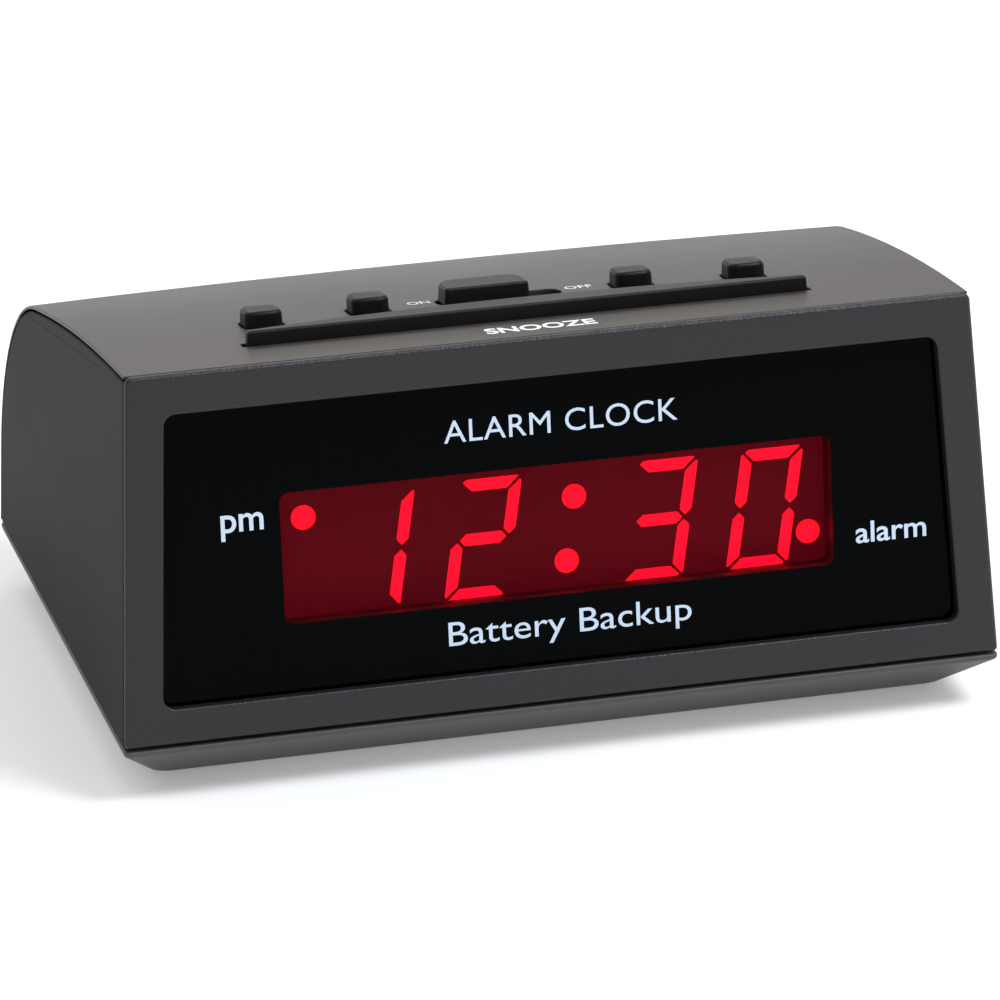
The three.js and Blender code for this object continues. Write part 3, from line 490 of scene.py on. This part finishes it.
varnished_steel = banded_material(
    "varnished_steel", (0.16, 0.165, 0.17), (0.05, 0.05, 0.055), "Y", 900.0, 0.45, 0.8,
)
core_low, core_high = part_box("transformer_core")
lamination_count = 24
lamination_step = (core_high.y - core_low.y) / mm / lamination_count
core = set_out(
    "transformer_laminations", lamination_mesh(), [(0, core_low.y / mm, 0)], varnished_steel,
    lamination_count, (0, lamination_step, 0),
)
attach(core, "case")
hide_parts("transformer_core")
repaint(
    banded_material("taped_winding", (0.62, 0.24, 0.07), (0.38, 0.12, 0.03), "Z", 520.0, 0.4),
    "transformer_winding",
)

# ------------------------------------------------------------------ clock chip
# A long dual in-line chip in black epoxy on two rows of tinned legs, over the main board's front.

chip_low, chip_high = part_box("clock_chip")
board_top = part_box("main_board")[1].z
leg_shape = bmesh.new()
leg_size = (0.5, 0.3, (chip_high.z - board_top) / mm / 2)
bmesh.ops.create_cube(leg_shape, size=1)
bmesh.ops.scale(leg_shape, vec=Vector(leg_size) * mm, verts=leg_shape.verts)
leg_mesh = bpy.data.meshes.new("chip_leg")
leg_shape.to_mesh(leg_mesh)
leg_shape.free()
leg_pitch = 2.54
leg_count = 13
first_leg = (chip_low.x + chip_high.x) / 2 / mm - leg_pitch * (leg_count - 1) / 2
leg_height = board_top / mm + 0.1 + leg_size[2] / 2
leg_rows = [
    (first_leg, chip_low.y / mm - 0.35, leg_height),
    (first_leg, chip_high.y / mm + 0.35, leg_height),
]
chip_legs = set_out("chip_legs", leg_mesh, leg_rows, nickel, leg_count, (leg_pitch, 0, 0))
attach(chip_legs, "case")
repaint(black_moulding, "clock_chip", "alarm_buzzer")

# ------------------------------------------------------------------ filter capacitor and flat cable
# An electrolytic can in a printed dark blue sleeve, and the grey flat cable to the display board.


def capacitor_sleeve():
    material, tree, shader = new_material("capacitor_sleeve")
    where = object_coordinates(tree)
    tone_variation(tree, shader, where, (0.02, 0.035, 0.12), 0.1, 300.0)
    shader.inputs["Roughness"].default_value = 0.3
    shader.inputs["Coat Weight"].default_value = 0.4
    return material


repaint(capacitor_sleeve(), "filter_capacitor")
repaint(
    banded_material("flat_cable", (0.42, 0.43, 0.44), (0.2, 0.2, 0.21), "X", 330.0, 0.5),
    "display_ribbon",
)

# ------------------------------------------------------------------ the face's own frame
# Everything at the front is laid out on the leaning face: across, up the face from the parting
# line, and out of the face.  The bezel's lowest edge and the tray's front edge fix where it is.

face_lean = math.radians(8.29)
seam = 0.35
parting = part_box("front_bezel")[0].z / mm - seam
front_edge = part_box("base_cover")[0].y / mm


def on_face(across, up, out):
    y = front_edge + up * math.sin(face_lean) - out * math.cos(face_lean)
    z = parting + up * math.cos(face_lean) + out * math.sin(face_lean)
    return Vector((across, y, z)) * mm


def prism_on_face(name, outline, back, front):
    """A flat outline of (across, up) points, made solid between two distances out of the face."""
    shape = bmesh.new()
    rear = [shape.verts.new(on_face(x, up, back)) for x, up in outline]
    fore = [shape.verts.new(on_face(x, up, front)) for x, up in outline]
    shape.faces.new(fore)
    shape.faces.new(list(reversed(rear)))
    for i in range(len(outline)):
        j = (i + 1) % len(outline)
        shape.faces.new([rear[i], rear[j], fore[j], fore[i]])
    bmesh.ops.recalc_face_normals(shape, faces=shape.faces)
    return mesh_from(name, shape)


def rounded_outline(corners, radii, steps=8):
    """The corners of a convex outline, each replaced by an arc; radii is one number or a list."""
    outline = []
    for i, corner in enumerate(corners):
        radius = radii[i] if isinstance(radii, list) else radii
        here = Vector(corner)
        before = (Vector(corners[i - 1]) - here).normalized()
        after = (Vector(corners[(i + 1) % len(corners)]) - here).normalized()
        half = before.angle(after) / 2
        centre = here + (before + after).normalized() * radius / math.sin(half)
        start = here + before * radius / math.tan(half) - centre
        end = here + after * radius / math.tan(half) - centre
        sweep = start.angle_signed(end)
        for step in range(steps + 1):
            turned = start.copy()
            turned.rotate(Matrix.Rotation(-sweep * step / steps, 2))
            outline.append(tuple(centre + turned))
    return outline


def rectangle(across, up, width, height):
    return [
        (across - width / 2, up - height / 2), (across + width / 2, up - height / 2),
        (across + width / 2, up + height / 2), (across - width / 2, up + height / 2),
    ]


# ------------------------------------------------------------------ LED display module
# A dark block whose face holds seven-segment numerals of red diffusing epoxy, lit from behind,
# with a dot for pm, one for the alarm and two for the colon.

window = {"across": 0.2, "up": 21.8, "width": 70.2, "height": 16.6, "corner": 1.2}
led_depth = 6.0
module_across = 1.5


def display_face():
    material, tree, shader = new_material("display_face")
    where = object_coordinates(tree)
    tone_variation(tree, shader, where, (0.03, 0.0005, 0.003), 0.12, 30.0)
    # The face between the numerals is given a faint, patchy red emission: a painted glow standing in for
    # light spread from the numerals, since the block is no lamp of its own.
    glow = add_node(tree, "ShaderNodeTexNoise", Scale=22.0, Detail=1.0)
    tree.links.new(where, glow.inputs["Vector"])
    mix = add_node(tree, "ShaderNodeMix", data_type="RGBA")
    mix.inputs["A"].default_value = (0.046, 0.0, 0.006, 1)
    mix.inputs["B"].default_value = (0.074, 0.0, 0.013, 1)
    tree.links.new(glow.outputs["Fac"], mix.inputs["Factor"])
    tree.links.new(mix.outputs["Result"], shader.inputs["Emission Color"])
    shader.inputs["Emission Strength"].default_value = 1.0
    shader.inputs["Roughness"].default_value = 0.6
    return material


def lit_epoxy():
    """Lit segments glow pinker at their middle than at their rim; the mesh says which is which."""
    material, tree, shader = new_material("lit_epoxy")
    core_share = add_node(tree, "ShaderNodeAttribute", attribute_name="core")
    mix = add_node(tree, "ShaderNodeMix", data_type="RGBA")
    mix.inputs["A"].default_value = (1.35, 0.02, 0.02, 1)
    mix.inputs["B"].default_value = (1.35, 0.012, 0.10, 1)
    tree.links.new(core_share.outputs["Fac"], mix.inputs["Factor"])
    tree.links.new(mix.outputs["Result"], shader.inputs["Emission Color"])
    shader.inputs["Emission Strength"].default_value = 1.0
    shader.inputs["Base Color"].default_value = (0.5, 0.01, 0.02, 1)
    shader.inputs["Roughness"].default_value = 0.35
    return material


face_material = display_face()
epoxy = lit_epoxy()
block_low = -12.2
block = link_mesh("display_block", prism_on_face(
    "display_block", rounded_outline(rectangle(module_across, window["up"], 77, 21), 0.8),
    block_low, -led_depth - 0.03,
))
block.data.materials.append(face_material)
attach(block, "case")
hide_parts("led_reflector")

digit_height = 15.24
digit_width = 8.0
digit_slant = math.tan(math.radians(9.8))
stroke = 1.5
digit_up = 20.55
digit_pitch = 13.63
digit_centres = [-22.12, -22.12 + digit_pitch, 14.15, 14.15 + digit_pitch]
numerals = ["bc", "abged", "abgcd", "abcdef"]


def segment_outline(letter):
    """One stroke about the upright digit's middle: mitred at outer corners, pointed at the waist."""
    w, h = digit_width / 2, digit_height / 2
    part = 0.3
    nip = 0.4
    s = stroke
    top = [(-w + nip + 0.1, h - nip), (-w + 2 * nip + 0.1, h), (w - 0.6, h), (w - 0.5, h - 0.1)]
    top += [(w - s - part * 0.9, h - s), (-w + s + part * 0.9, h - s)]
    waist = s / 2
    side = [(w, h - nip - part), (w - 0.18, h - 0.52), (w - s, h - s - part)]
    side += [(w - s, waist + part), (w - s / 2, part), (w, waist + part)]
    bar_half = s / 2
    middle = [(-w + s / 2 + part, 0), (-w + s + part, bar_half), (w - s - part, bar_half)]
    middle += [(w - s / 2 - part, 0), (w - s - part, -bar_half), (-w + s + part, -bar_half)]
    flips = {"a": (1, 1), "d": (-1, -1), "b": (1, 1), "c": (1, -1), "e": (-1, -1), "f": (-1, 1)}
    if letter == "g":
        return middle
    x_turn, y_turn = flips[letter]
    source = top if letter in "ad" else side
    return [(x * x_turn, y * y_turn) for x, y in source]


def shrink(outline, amount):
    middle = sum((Vector(point) for point in outline), Vector((0, 0))) / len(outline)
    near = []
    for point in outline:
        inward = middle - Vector(point)
        near.append(tuple(Vector(point) + inward.normalized() * min(amount, inward.length * 0.7)))
    return near


def glowing_prism(shape, outline, back, front, inset):
    """A prism whose front face has an inner rim; the core attribute is 1 inside it and 0 outside."""
    inner = shrink(outline, inset)
    core = shape.verts.layers.float["core"]
    rear = [shape.verts.new(on_face(x, up, back)) for x, up in outline]
    fore = [shape.verts.new(on_face(x, up, front)) for x, up in outline]
    heart = [shape.verts.new(on_face(x, up, front)) for x, up in inner]
    for vertex in heart:
        vertex[core] = 1.0
    made = [shape.faces.new(heart), shape.faces.new(list(reversed(rear)))]
    for i in range(len(outline)):
        j = (i + 1) % len(outline)
        made.append(shape.faces.new([rear[i], rear[j], fore[j], fore[i]]))
        made.append(shape.faces.new([fore[i], fore[j], heart[j], heart[i]]))
    bmesh.ops.recalc_face_normals(shape, faces=made)


def add_numeral(index, letters):
    shape = bmesh.new()
    shape.verts.layers.float.new("core")
    for letter in letters:
        outline = [
            (digit_centres[index] + x + y * digit_slant, digit_up + y)
            for x, y in segment_outline(letter)
        ]
        glowing_prism(shape, outline, -led_depth - 0.6, -led_depth, 0.45)
    mesh = mesh_from(f"numeral_{index + 1}", shape)
    mesh.materials.append(epoxy)
    numeral = link_mesh(f"numeral_{index + 1}", mesh)
    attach(numeral, "case")
    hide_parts(f"digit_{index + 1}")


for position, letters in enumerate(numerals):
    add_numeral(position, letters)

dot_radius = 1.55
dots = {
    "colon_upper": (3.3, 24.65),
    "colon_lower": (2.05, 16.55),
    "pm_dot": (-31.05, 25.65),
    "alarm_dot": (33.3, 16.95),
}
for node, (across, up) in dots.items():
    shape = bmesh.new()
    shape.verts.layers.float.new("core")
    turns = [2 * math.pi * i / 40 for i in range(40)]
    rim = [(across + dot_radius * math.cos(t), up + dot_radius * math.sin(t)) for t in turns]
    glowing_prism(shape, rim, -led_depth - 0.6, -led_depth, 0.6)
    mesh = mesh_from(f"{node}_light", shape)
    mesh.materials.append(epoxy)
    light_dot = link_mesh(f"{node}_light", mesh)
    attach(light_dot, "case")
    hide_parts(node)

# ------------------------------------------------------------------ light shroud
# A dark moulded frame between the lens and the display block, so that the window shows only the
# numerals; its end walls carry the display board.


def shroud_plastic():
    material, tree, shader = new_material("shroud_plastic")
    where = object_coordinates(tree)
    tone_variation(tree, shader, where, (0.05, 0.001, 0.001), 0.1, 80.0)
    shader.inputs["Roughness"].default_value = 0.5
    return material


shroud = shroud_plastic()
repaint(shroud, "light_shroud")

# ------------------------------------------------------------------ front bezel
# One moulding round the lens, in dark grey with a fine sparkling grain, held by a lip inside the
# case.  Its outer edges are generously rounded and the edge of the lens opening is barely eased.

bezel_rim = 0.65
bezel_plate = 1.4
lens_opening_margin = 4.83
lens_opening_bottom = 4.86
lens_opening_top = 41.6
side_lean = math.radians(3.16)
case_half_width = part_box("base_cover")[1].x / mm
face_top = 46.21 / math.cos(face_lean)


def face_half_width(up):
    return case_half_width - up * math.cos(face_lean) * math.tan(side_lean)


def face_panel(margin, low, high):
    return [
        (-face_half_width(low) + margin, low), (face_half_width(low) - margin, low),
        (face_half_width(high) - margin, high), (-face_half_width(high) + margin, high),
    ]


def face_edge(inset, out):
    """The bezel's outer outline, moved in by inset: it stands on the level seam at every depth."""
    low = (seam - out * math.sin(face_lean)) / math.cos(face_lean) + inset
    tight = max(0.5 - inset, 0.03)
    wide = max(1.0 - inset, 0.03)
    corners = face_panel(inset, low, face_top - inset)
    return rounded_outline(corners, [tight, tight, wide, wide])


def opening_edge(margin_change):
    """The lens opening's outline, made larger by margin_change all round."""
    corners = face_panel(
        lens_opening_margin - margin_change,
        lens_opening_bottom - margin_change, lens_opening_top + margin_change,
    )
    return rounded_outline(corners, 1.5 + margin_change)


def rings_on_face(name, loops):
    """A closed ring from loops of (outline, out) that go once round its section."""
    shape = bmesh.new()
    rings = [[shape.verts.new(on_face(x, up, out)) for x, up in outline] for outline, out in loops]
    for ring, following in zip(rings, rings[1:] + rings[:1]):
        for i in range(len(ring)):
            j = (i + 1) % len(ring)
            shape.faces.new([ring[i], ring[j], following[j], following[i]])
    bmesh.ops.recalc_face_normals(shape, faces=shape.faces)
    return mesh_from(name, shape)


def sparkle_plastic():
    material, tree, shader = new_material("bezel_plastic")
    where = object_coordinates(tree)
    tone_variation(tree, shader, where, (0.0105, 0.0105, 0.0125), 0.05, 50.0)
    shader.inputs["Specular IOR Level"].default_value = 0.45
    cells = add_node(tree, "ShaderNodeTexVoronoi", Scale=3400.0)
    fine = add_node(tree, "ShaderNodeTexNoise", Scale=5200.0, Detail=3.0)
    tree.links.new(where, cells.inputs["Vector"])
    tree.links.new(where, fine.inputs["Vector"])
    heights = add_node(tree, "ShaderNodeMath", operation="MULTIPLY_ADD")
    heights.inputs[1].default_value = 0.7
    tree.links.new(cells.outputs["Distance"], heights.inputs[0])
    tree.links.new(fine.outputs["Fac"], heights.inputs[2])
    add_bump(tree, shader, heights.outputs[0], 1.0, 0.05 * mm)
    vary_roughness(tree, shader, fine.outputs["Fac"], 0.36, 0.52)
    return material


outer_round = 0.6
opening_round = 0.3
eighths = [math.pi / 2 * step / 6 for step in range(7)]
bezel_loops = [(face_edge(0, -bezel_rim), -bezel_rim)]
for turn in eighths:
    depth = -outer_round * (1 - math.sin(turn))
    bezel_loops.append((face_edge(outer_round * (1 - math.cos(turn)), depth), depth))
for turn in reversed(eighths):
    depth = -opening_round * (1 - math.sin(turn))
    bezel_loops.append((opening_edge(opening_round * (1 - math.cos(turn))), depth))
lip_outside = 2.35
lip_inside = 3.55
lip_end = -6.5
bezel_loops += [
    (opening_edge(0), -bezel_plate),
    (face_edge(lip_inside, -bezel_plate), -bezel_plate),
    (face_edge(lip_inside, lip_end), lip_end),
    (face_edge(lip_outside, lip_end), lip_end),
    (face_edge(lip_outside, -bezel_rim), -bezel_rim),
]
bezel = link_mesh("lens_bezel", settle_normals(rings_on_face("lens_bezel", bezel_loops), 35))
bezel.data.materials.append(sparkle_plastic())
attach(bezel, "case")
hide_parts("front_bezel")

# ------------------------------------------------------------------ display lens
# A polished acrylic sheet behind the bezel, printed black on its back except for the window, where
# a clear red ink lets the numerals through.

lens_front = -bezel_plate - 0.25
lens_back = lens_front - 1.5
lens_lap = 0.9


def black_gloss():
    material, tree, shader = new_material("black_gloss")
    where = object_coordinates(tree, (1, 0.03, 0.03))
    tone_variation(tree, shader, where, (0.0003, 0.0005, 0.0007), 0.5, 900.0)
    shader.inputs["Roughness"].default_value = 0.06
    shader.inputs["Specular IOR Level"].default_value = 0.03
    return material


def red_window():
    material, tree, shader = new_material("red_window")
    where = object_coordinates(tree)
    tone_variation(tree, shader, where, (0.9, 0.28, 0.3), 0.02, 40.0)
    shader.inputs["Transmission Weight"].default_value = 1.0
    shader.inputs["Roughness"].default_value = 0.0
    shader.inputs["IOR"].default_value = 1.06
    return material


lens_outline = opening_edge(lens_lap)
window_outline = rounded_outline(
    rectangle(window["across"], window["up"], window["width"], window["height"]), window["corner"],
)
mask = link_mesh("lens_mask", rings_on_face("lens_mask", [
    (lens_outline, lens_front), (window_outline, lens_front),
    (window_outline, lens_back), (lens_outline, lens_back),
]))
mask.data.materials.append(black_gloss())
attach(mask, "case")
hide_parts("display_lens")
pane_outline = rounded_outline(
    rectangle(window["across"], window["up"], window["width"] - 0.02, window["height"] - 0.02),
    window["corner"],
)
pane = link_mesh("lens_window", prism_on_face("lens_window", pane_outline, lens_back, lens_front - 0.01))
pane.data.materials.append(red_window())
pane.data.materials.append(shroud)
largest_edge = 400 * mm * mm
for face in pane.data.polygons:
    face.material_index = 1 if face.area < largest_edge else 0
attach(pane, "case")
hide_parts("display_lens")

# ------------------------------------------------------------------ printed legends on the lens
# Pale bluish-white screen printing: what each dot means, and two plain lines of words.

ink_height = 0.03


def printed_ink(name, colour):
    material, tree, shader = new_material(name)
    where = object_coordinates(tree)
    tone_variation(tree, shader, where, colour, 0.03, 500.0)
    shader.inputs["Roughness"].default_value = 0.5
    shader.inputs["Specular IOR Level"].default_value = 0.2
    return material


def letter_mesh(words, width, height, weight=0.0, spacing=1.0):
    """Letters in millimetres, stretched to a width and height about their own middle."""
    curve = bpy.data.curves.new("letters", "FONT")
    curve.body = words
    curve.size = 1
    curve.offset = weight
    curve.space_character = spacing
    curve.resolution_u = 5
    curve.extrude = 0.5
    holder = link_mesh("letters_holder", curve)
    graph = bpy.context.evaluated_depsgraph_get()
    mesh = bpy.data.meshes.new_from_object(holder.evaluated_get(graph), depsgraph=graph)
    bpy.data.objects.remove(holder)
    shape = bmesh.new()
    shape.from_mesh(mesh)
    bmesh.ops.remove_doubles(shape, verts=shape.verts, dist=1e-5)
    low = Vector(min(v.co[i] for v in shape.verts) for i in range(3))
    high = Vector(max(v.co[i] for v in shape.verts) for i in range(3))
    for vertex in shape.verts:
        vertex.co.x = ((vertex.co.x - low.x) / (high.x - low.x) - 0.5) * width
        vertex.co.y = ((vertex.co.y - low.y) / (high.y - low.y) - 0.5) * height
    shape.to_mesh(mesh)
    shape.free()
    return mesh


def print_on_face(name, words, across, up, width, height, ink, weight=0.0, spacing=1.0):
    mesh = letter_mesh(words, width, height, weight, spacing)
    for vertex in mesh.vertices:
        lift = lens_front + (ink_height if vertex.co.z > 0 else 0.002)
        vertex.co = on_face(across + vertex.co.x, up + vertex.co.y, lift)
    mesh.materials.append(ink)
    letters = link_mesh(name, mesh)
    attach(letters, "case")
    return letters


lens_ink = printed_ink("lens_ink", (0.56, 0.68, 0.82))
print_on_face("pm_legend", "pm", -39.65, 26.45, 5.35, 3.3, lens_ink, 0.012)
print_on_face("alarm_legend", "alarm", 42.8, 17.22, 9.2, 2.75, lens_ink, 0.012)
print_on_face("upper_legend", "ALARM CLOCK", 0.9, 35.53, 29.7, 2.84, lens_ink, 0.0, 1.05)
print_on_face("lower_legend", "Battery Backup", 1.1, 9.5, 31.1, 4.0, lens_ink, 0.0)

# ------------------------------------------------------------------ key board switches
# Black tact switches with white plungers under the keys, and the slide switch with its lever.

repaint(
    black_moulding,
    "hour_switch", "minute_switch", "alarm_set_switch", "time_set_switch", "snooze_switch",
)
repaint(
    moulded_plastic("white_nylon", (0.7, 0.69, 0.64), 0.45, 0.4, 0.004),
    "hour_plunger", "minute_plunger", "alarm_set_plunger", "time_set_plunger", "snooze_plunger",
)

# ------------------------------------------------------------------ the roof's own frame
# The roof is one long arc.  A place on it is given across, along the arc from the front edge, and
# out of the surface; the keys are laid out on the flat that touches the arc at deck_arc.

roof_radius = 362.0
roof_slope = math.radians(6.66)
roof_rise = 46.21
roof_start = Vector((roof_rise * math.tan(face_lean), roof_rise))
roof_centre = roof_start - roof_radius * Vector((math.sin(roof_slope), math.cos(roof_slope)))
deck_arc = 18.0
deck_slope = roof_slope + deck_arc / roof_radius


def on_roof(across, arc, out):
    slope = roof_slope + arc / roof_radius
    place = roof_centre + (roof_radius + out) * Vector((math.sin(slope), math.cos(slope)))
    return Vector((across, front_edge + place.x, parting + place.y)) * mm


def on_deck(across, back, out):
    origin = on_roof(0, deck_arc, 0)
    along = Vector((0, math.cos(deck_slope), -math.sin(deck_slope)))
    normal = Vector((0, math.sin(deck_slope), math.cos(deck_slope)))
    return origin + (Vector((across, 0, 0)) + along * back + normal * out) * mm


# ------------------------------------------------------------------ keys
# Four square key caps with drafted sides, rounded corners and a softly crowned top, in fine matt
# black.  Each runs straight down below the roof's surface at its full width.

key_plastic = moulded_plastic("key_plastic", (0.003, 0.0031, 0.0037), 0.4, 0.2, 0.012, 0.2, 0.1)


def lofted_on_deck(name, levels, sides_of):
    """A closed skin over rings on the deck; levels are (height, inset) and sides_of gives a ring."""
    shape = bmesh.new()
    rings = []
    for height, inset in levels:
        rings.append([shape.verts.new(on_deck(x, y, height + lift)) for x, y, lift in sides_of(inset)])
    for low, high in zip(rings, rings[1:]):
        for i in range(len(low)):
            j = (i + 1) % len(low)
            shape.faces.new([low[i], low[j], high[j], high[i]])
    shape.faces.new(rings[-1])
    shape.faces.new(list(reversed(rings[0])))
    bmesh.ops.recalc_face_normals(shape, faces=shape.faces)
    return mesh_from(name, shape)


def rounded_top(height, radius, draft, low, steps=6):
    """Levels from the flange up drafted sides and over a rounded edge, as (height, inset)."""
    levels = [(low, 0.0), (0.0, 0.0), (height - radius, draft)]
    for step in range(1, steps + 1):
        turn = math.pi / 2 * step / steps
        levels.append((height - radius + radius * math.sin(turn), draft + radius * (1 - math.cos(turn))))
    return levels


key_cap = {"size": 4.85, "height": 2.05, "corner": 1.3}
flange_low = -2.6


def add_key(name, node, body, across, back):
    def ring(inset):
        side = key_cap["size"] - 2 * inset
        corner = max(key_cap["corner"] - inset * 0.5, 0.4)
        outline = rounded_outline(rectangle(0, 0, side, side), corner, 6)
        return [(across + x, back + y, 0) for x, y in outline]

    levels = rounded_top(key_cap["height"], 0.55, 0.06, flange_low)
    for inset, rise in ((1.3, 0.09), (1.9, 0.13)):
        levels.append((key_cap["height"] + rise, inset))
    mesh = settle_normals(lofted_on_deck(name, levels, ring), 60)
    mesh.materials.append(key_plastic)
    cap = link_mesh(name, mesh)
    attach(cap, body)
    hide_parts(node)


key_places = {
    "hour": (-31.6, 3.5),
    "minute": (-17.6, 5.2),
    "alarm_set": (16.4, 5.2),
    "time_set": (30.6, 3.5),
}
for use, (across, back) in key_places.items():
    add_key(f"{use}_key_cap", f"{use}_key", f"{use}_key_body", across, back)

# ------------------------------------------------------------------ snooze bar
# A long bar across the roof's front with a straight front edge and a bowed rear edge, its ends and
# top edges rounded, in the keys' black plastic.

bar = {
    "middle": -0.3, "half": 35.7, "front": -8.1, "end_depth": 1.12, "bow": 3.45, "height": 1.7,
}


def bar_ring(inset):
    half = bar["half"] - inset
    front = bar["front"] + inset
    ends = bar["front"] + bar["end_depth"] - inset * 0.55
    points = [(-half, front), (half, front)]
    steps = 48
    for step in range(steps + 1):
        share = 1 - 2 * step / steps
        points.append((half * share, ends + (bar["bow"] - inset * 0.45) * (1 - share * share)))
    return [(bar["middle"] + x, y, 0) for x, y in points]


bar_mesh = settle_normals(
    lofted_on_deck("snooze_top", rounded_top(bar["height"], 0.42, 0.05, flange_low), bar_ring), 45,
)
bar_mesh.materials.append(key_plastic)
snooze = link_mesh("snooze_top", bar_mesh)
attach(snooze, "snooze_body")
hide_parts("snooze_bar")

# ------------------------------------------------------------------ alarm slide knob
# The knob that turns the alarm on and off: a low block with a straight front and well-rounded rear
# corners, standing just clear of the roof.

knob = {"across": -2.85, "back": 5.25, "length": 11.0, "depth": 5.8, "height": 2.3}


def knob_ring(inset):
    w = knob["length"] / 2 - inset
    d = knob["depth"] / 2 - inset
    outline = []
    quarter = [math.pi / 2 * step / 6 for step in range(7)]
    for x_sign, y_sign, radius, turn in (
        (-1, -1, 0.6, math.pi), (1, -1, 0.6, -math.pi / 2), (1, 1, 2.4, 0), (-1, 1, 2.4, math.pi / 2),
    ):
        r = max(radius - inset, 0.15)
        for angle in quarter:
            x = x_sign * (w - r) + r * math.cos(turn + angle)
            y = y_sign * (d - r) + r * math.sin(turn + angle)
            outline.append((knob["across"] + x, knob["back"] + y, 0))
    return outline


knob_levels = rounded_top(knob["height"], 0.4, 0.12, 0.12)[1:]
knob_levels[0] = (0.12, 0.0)
knob_mesh = settle_normals(lofted_on_deck("slide_knob_top", knob_levels, knob_ring), 60)
knob_mesh.materials.append(key_plastic)
slide = link_mesh("slide_knob_top", knob_mesh)
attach(slide, "alarm_slide_body")
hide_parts("alarm_slide_knob")

# ------------------------------------------------------------------ top cover
# The roof, rear fillet and back wall in one sheet of warm dark grey satin plastic, with openings
# for the keys, the bar and the slide.  It snaps on behind the bezel, and its edges are eased.

cover_plastic = moulded_plastic(
    "cover_plastic", (0.031, 0.026, 0.0225), 0.42, 0.16, 0.003, 0.42, 0.03, (1, 0.95, 0.9),
)
eased_copy("roof_cover", "top_cover", [(0.18, 3, anywhere)], cover_plastic)


def print_on_roof(name, words, across, arc, width, length, ink, weight=0.0, spacing=1.0):
    mesh = letter_mesh(words, width, length, weight, spacing)
    for vertex in mesh.vertices:
        lift = ink_height if vertex.co.z > 0 else 0.004
        vertex.co = on_roof(across + vertex.co.x, arc + vertex.co.y, lift)
    mesh.materials.append(ink)
    letters = link_mesh(name, mesh)
    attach(letters, "case")


roof_ink = printed_ink("roof_ink", (0.8, 0.8, 0.8))
print_on_roof("snooze_legend", "SNOOZE", -0.35, 4.85, 14.0, 2.7, roof_ink, 0.025)
print_on_roof("on_legend", "ON", -10.75, 24.7, 2.87, 1.7, roof_ink, 0.0)
print_on_roof("off_legend", "OFF", 9.95, 24.7, 3.5, 1.85, roof_ink, 0.0)

# ------------------------------------------------------------------ side panels
# Two flat panels in a slightly browner grey with a soft texture, held by the case screws.  The
# roof's thin lip laps over their top edges.

side_plastic = moulded_plastic(
    "side_plastic", (0.016, 0.0148, 0.0115), 0.6, 0.3, 0.006, 0.07, 0.05, (1, 0.98, 0.9),
)
for hand in ("left", "right"):
    eased_copy(
        f"{hand}_side", f"side_panel_{hand}", [(0.25, 3, anywhere)], side_plastic,
    )

# ------------------------------------------------------------------ cord inlet
# A black rubber grommet, flush in the back wall, for the power cord.

eased_copy("inlet_grommet", "cord_grommet", [(0.2, 2, anywhere)], foot_rubber)

# ------------------------------------------------------------------ case screws
# Four zinc-plated cross-head screws, deep in the tray's bosses, that hold the case together.

screw_nodes = [f"case_screw_{i}" for i in (1, 2, 3, 4)]
screw_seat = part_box(screw_nodes[0])[0].z / mm
screw_profile = [
    (0, 0.55), (0.9, 0.5), (1.15, 0.05), (2.3, 0), (2.6, 0.25),
    (2.6, 1.4), (1.4, 1.9), (1.4, 15.4), (0, 16.9),
]
screws = set_out(
    "case_screws", turned_mesh("screw", screw_profile, 24),
    [(middle_of(node).x, middle_of(node).y, screw_seat) for node in screw_nodes],
    plated_metal("zinc_plate", (0.55, 0.56, 0.57), 0.3),
)
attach(screws, "case")
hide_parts(*screw_nodes)
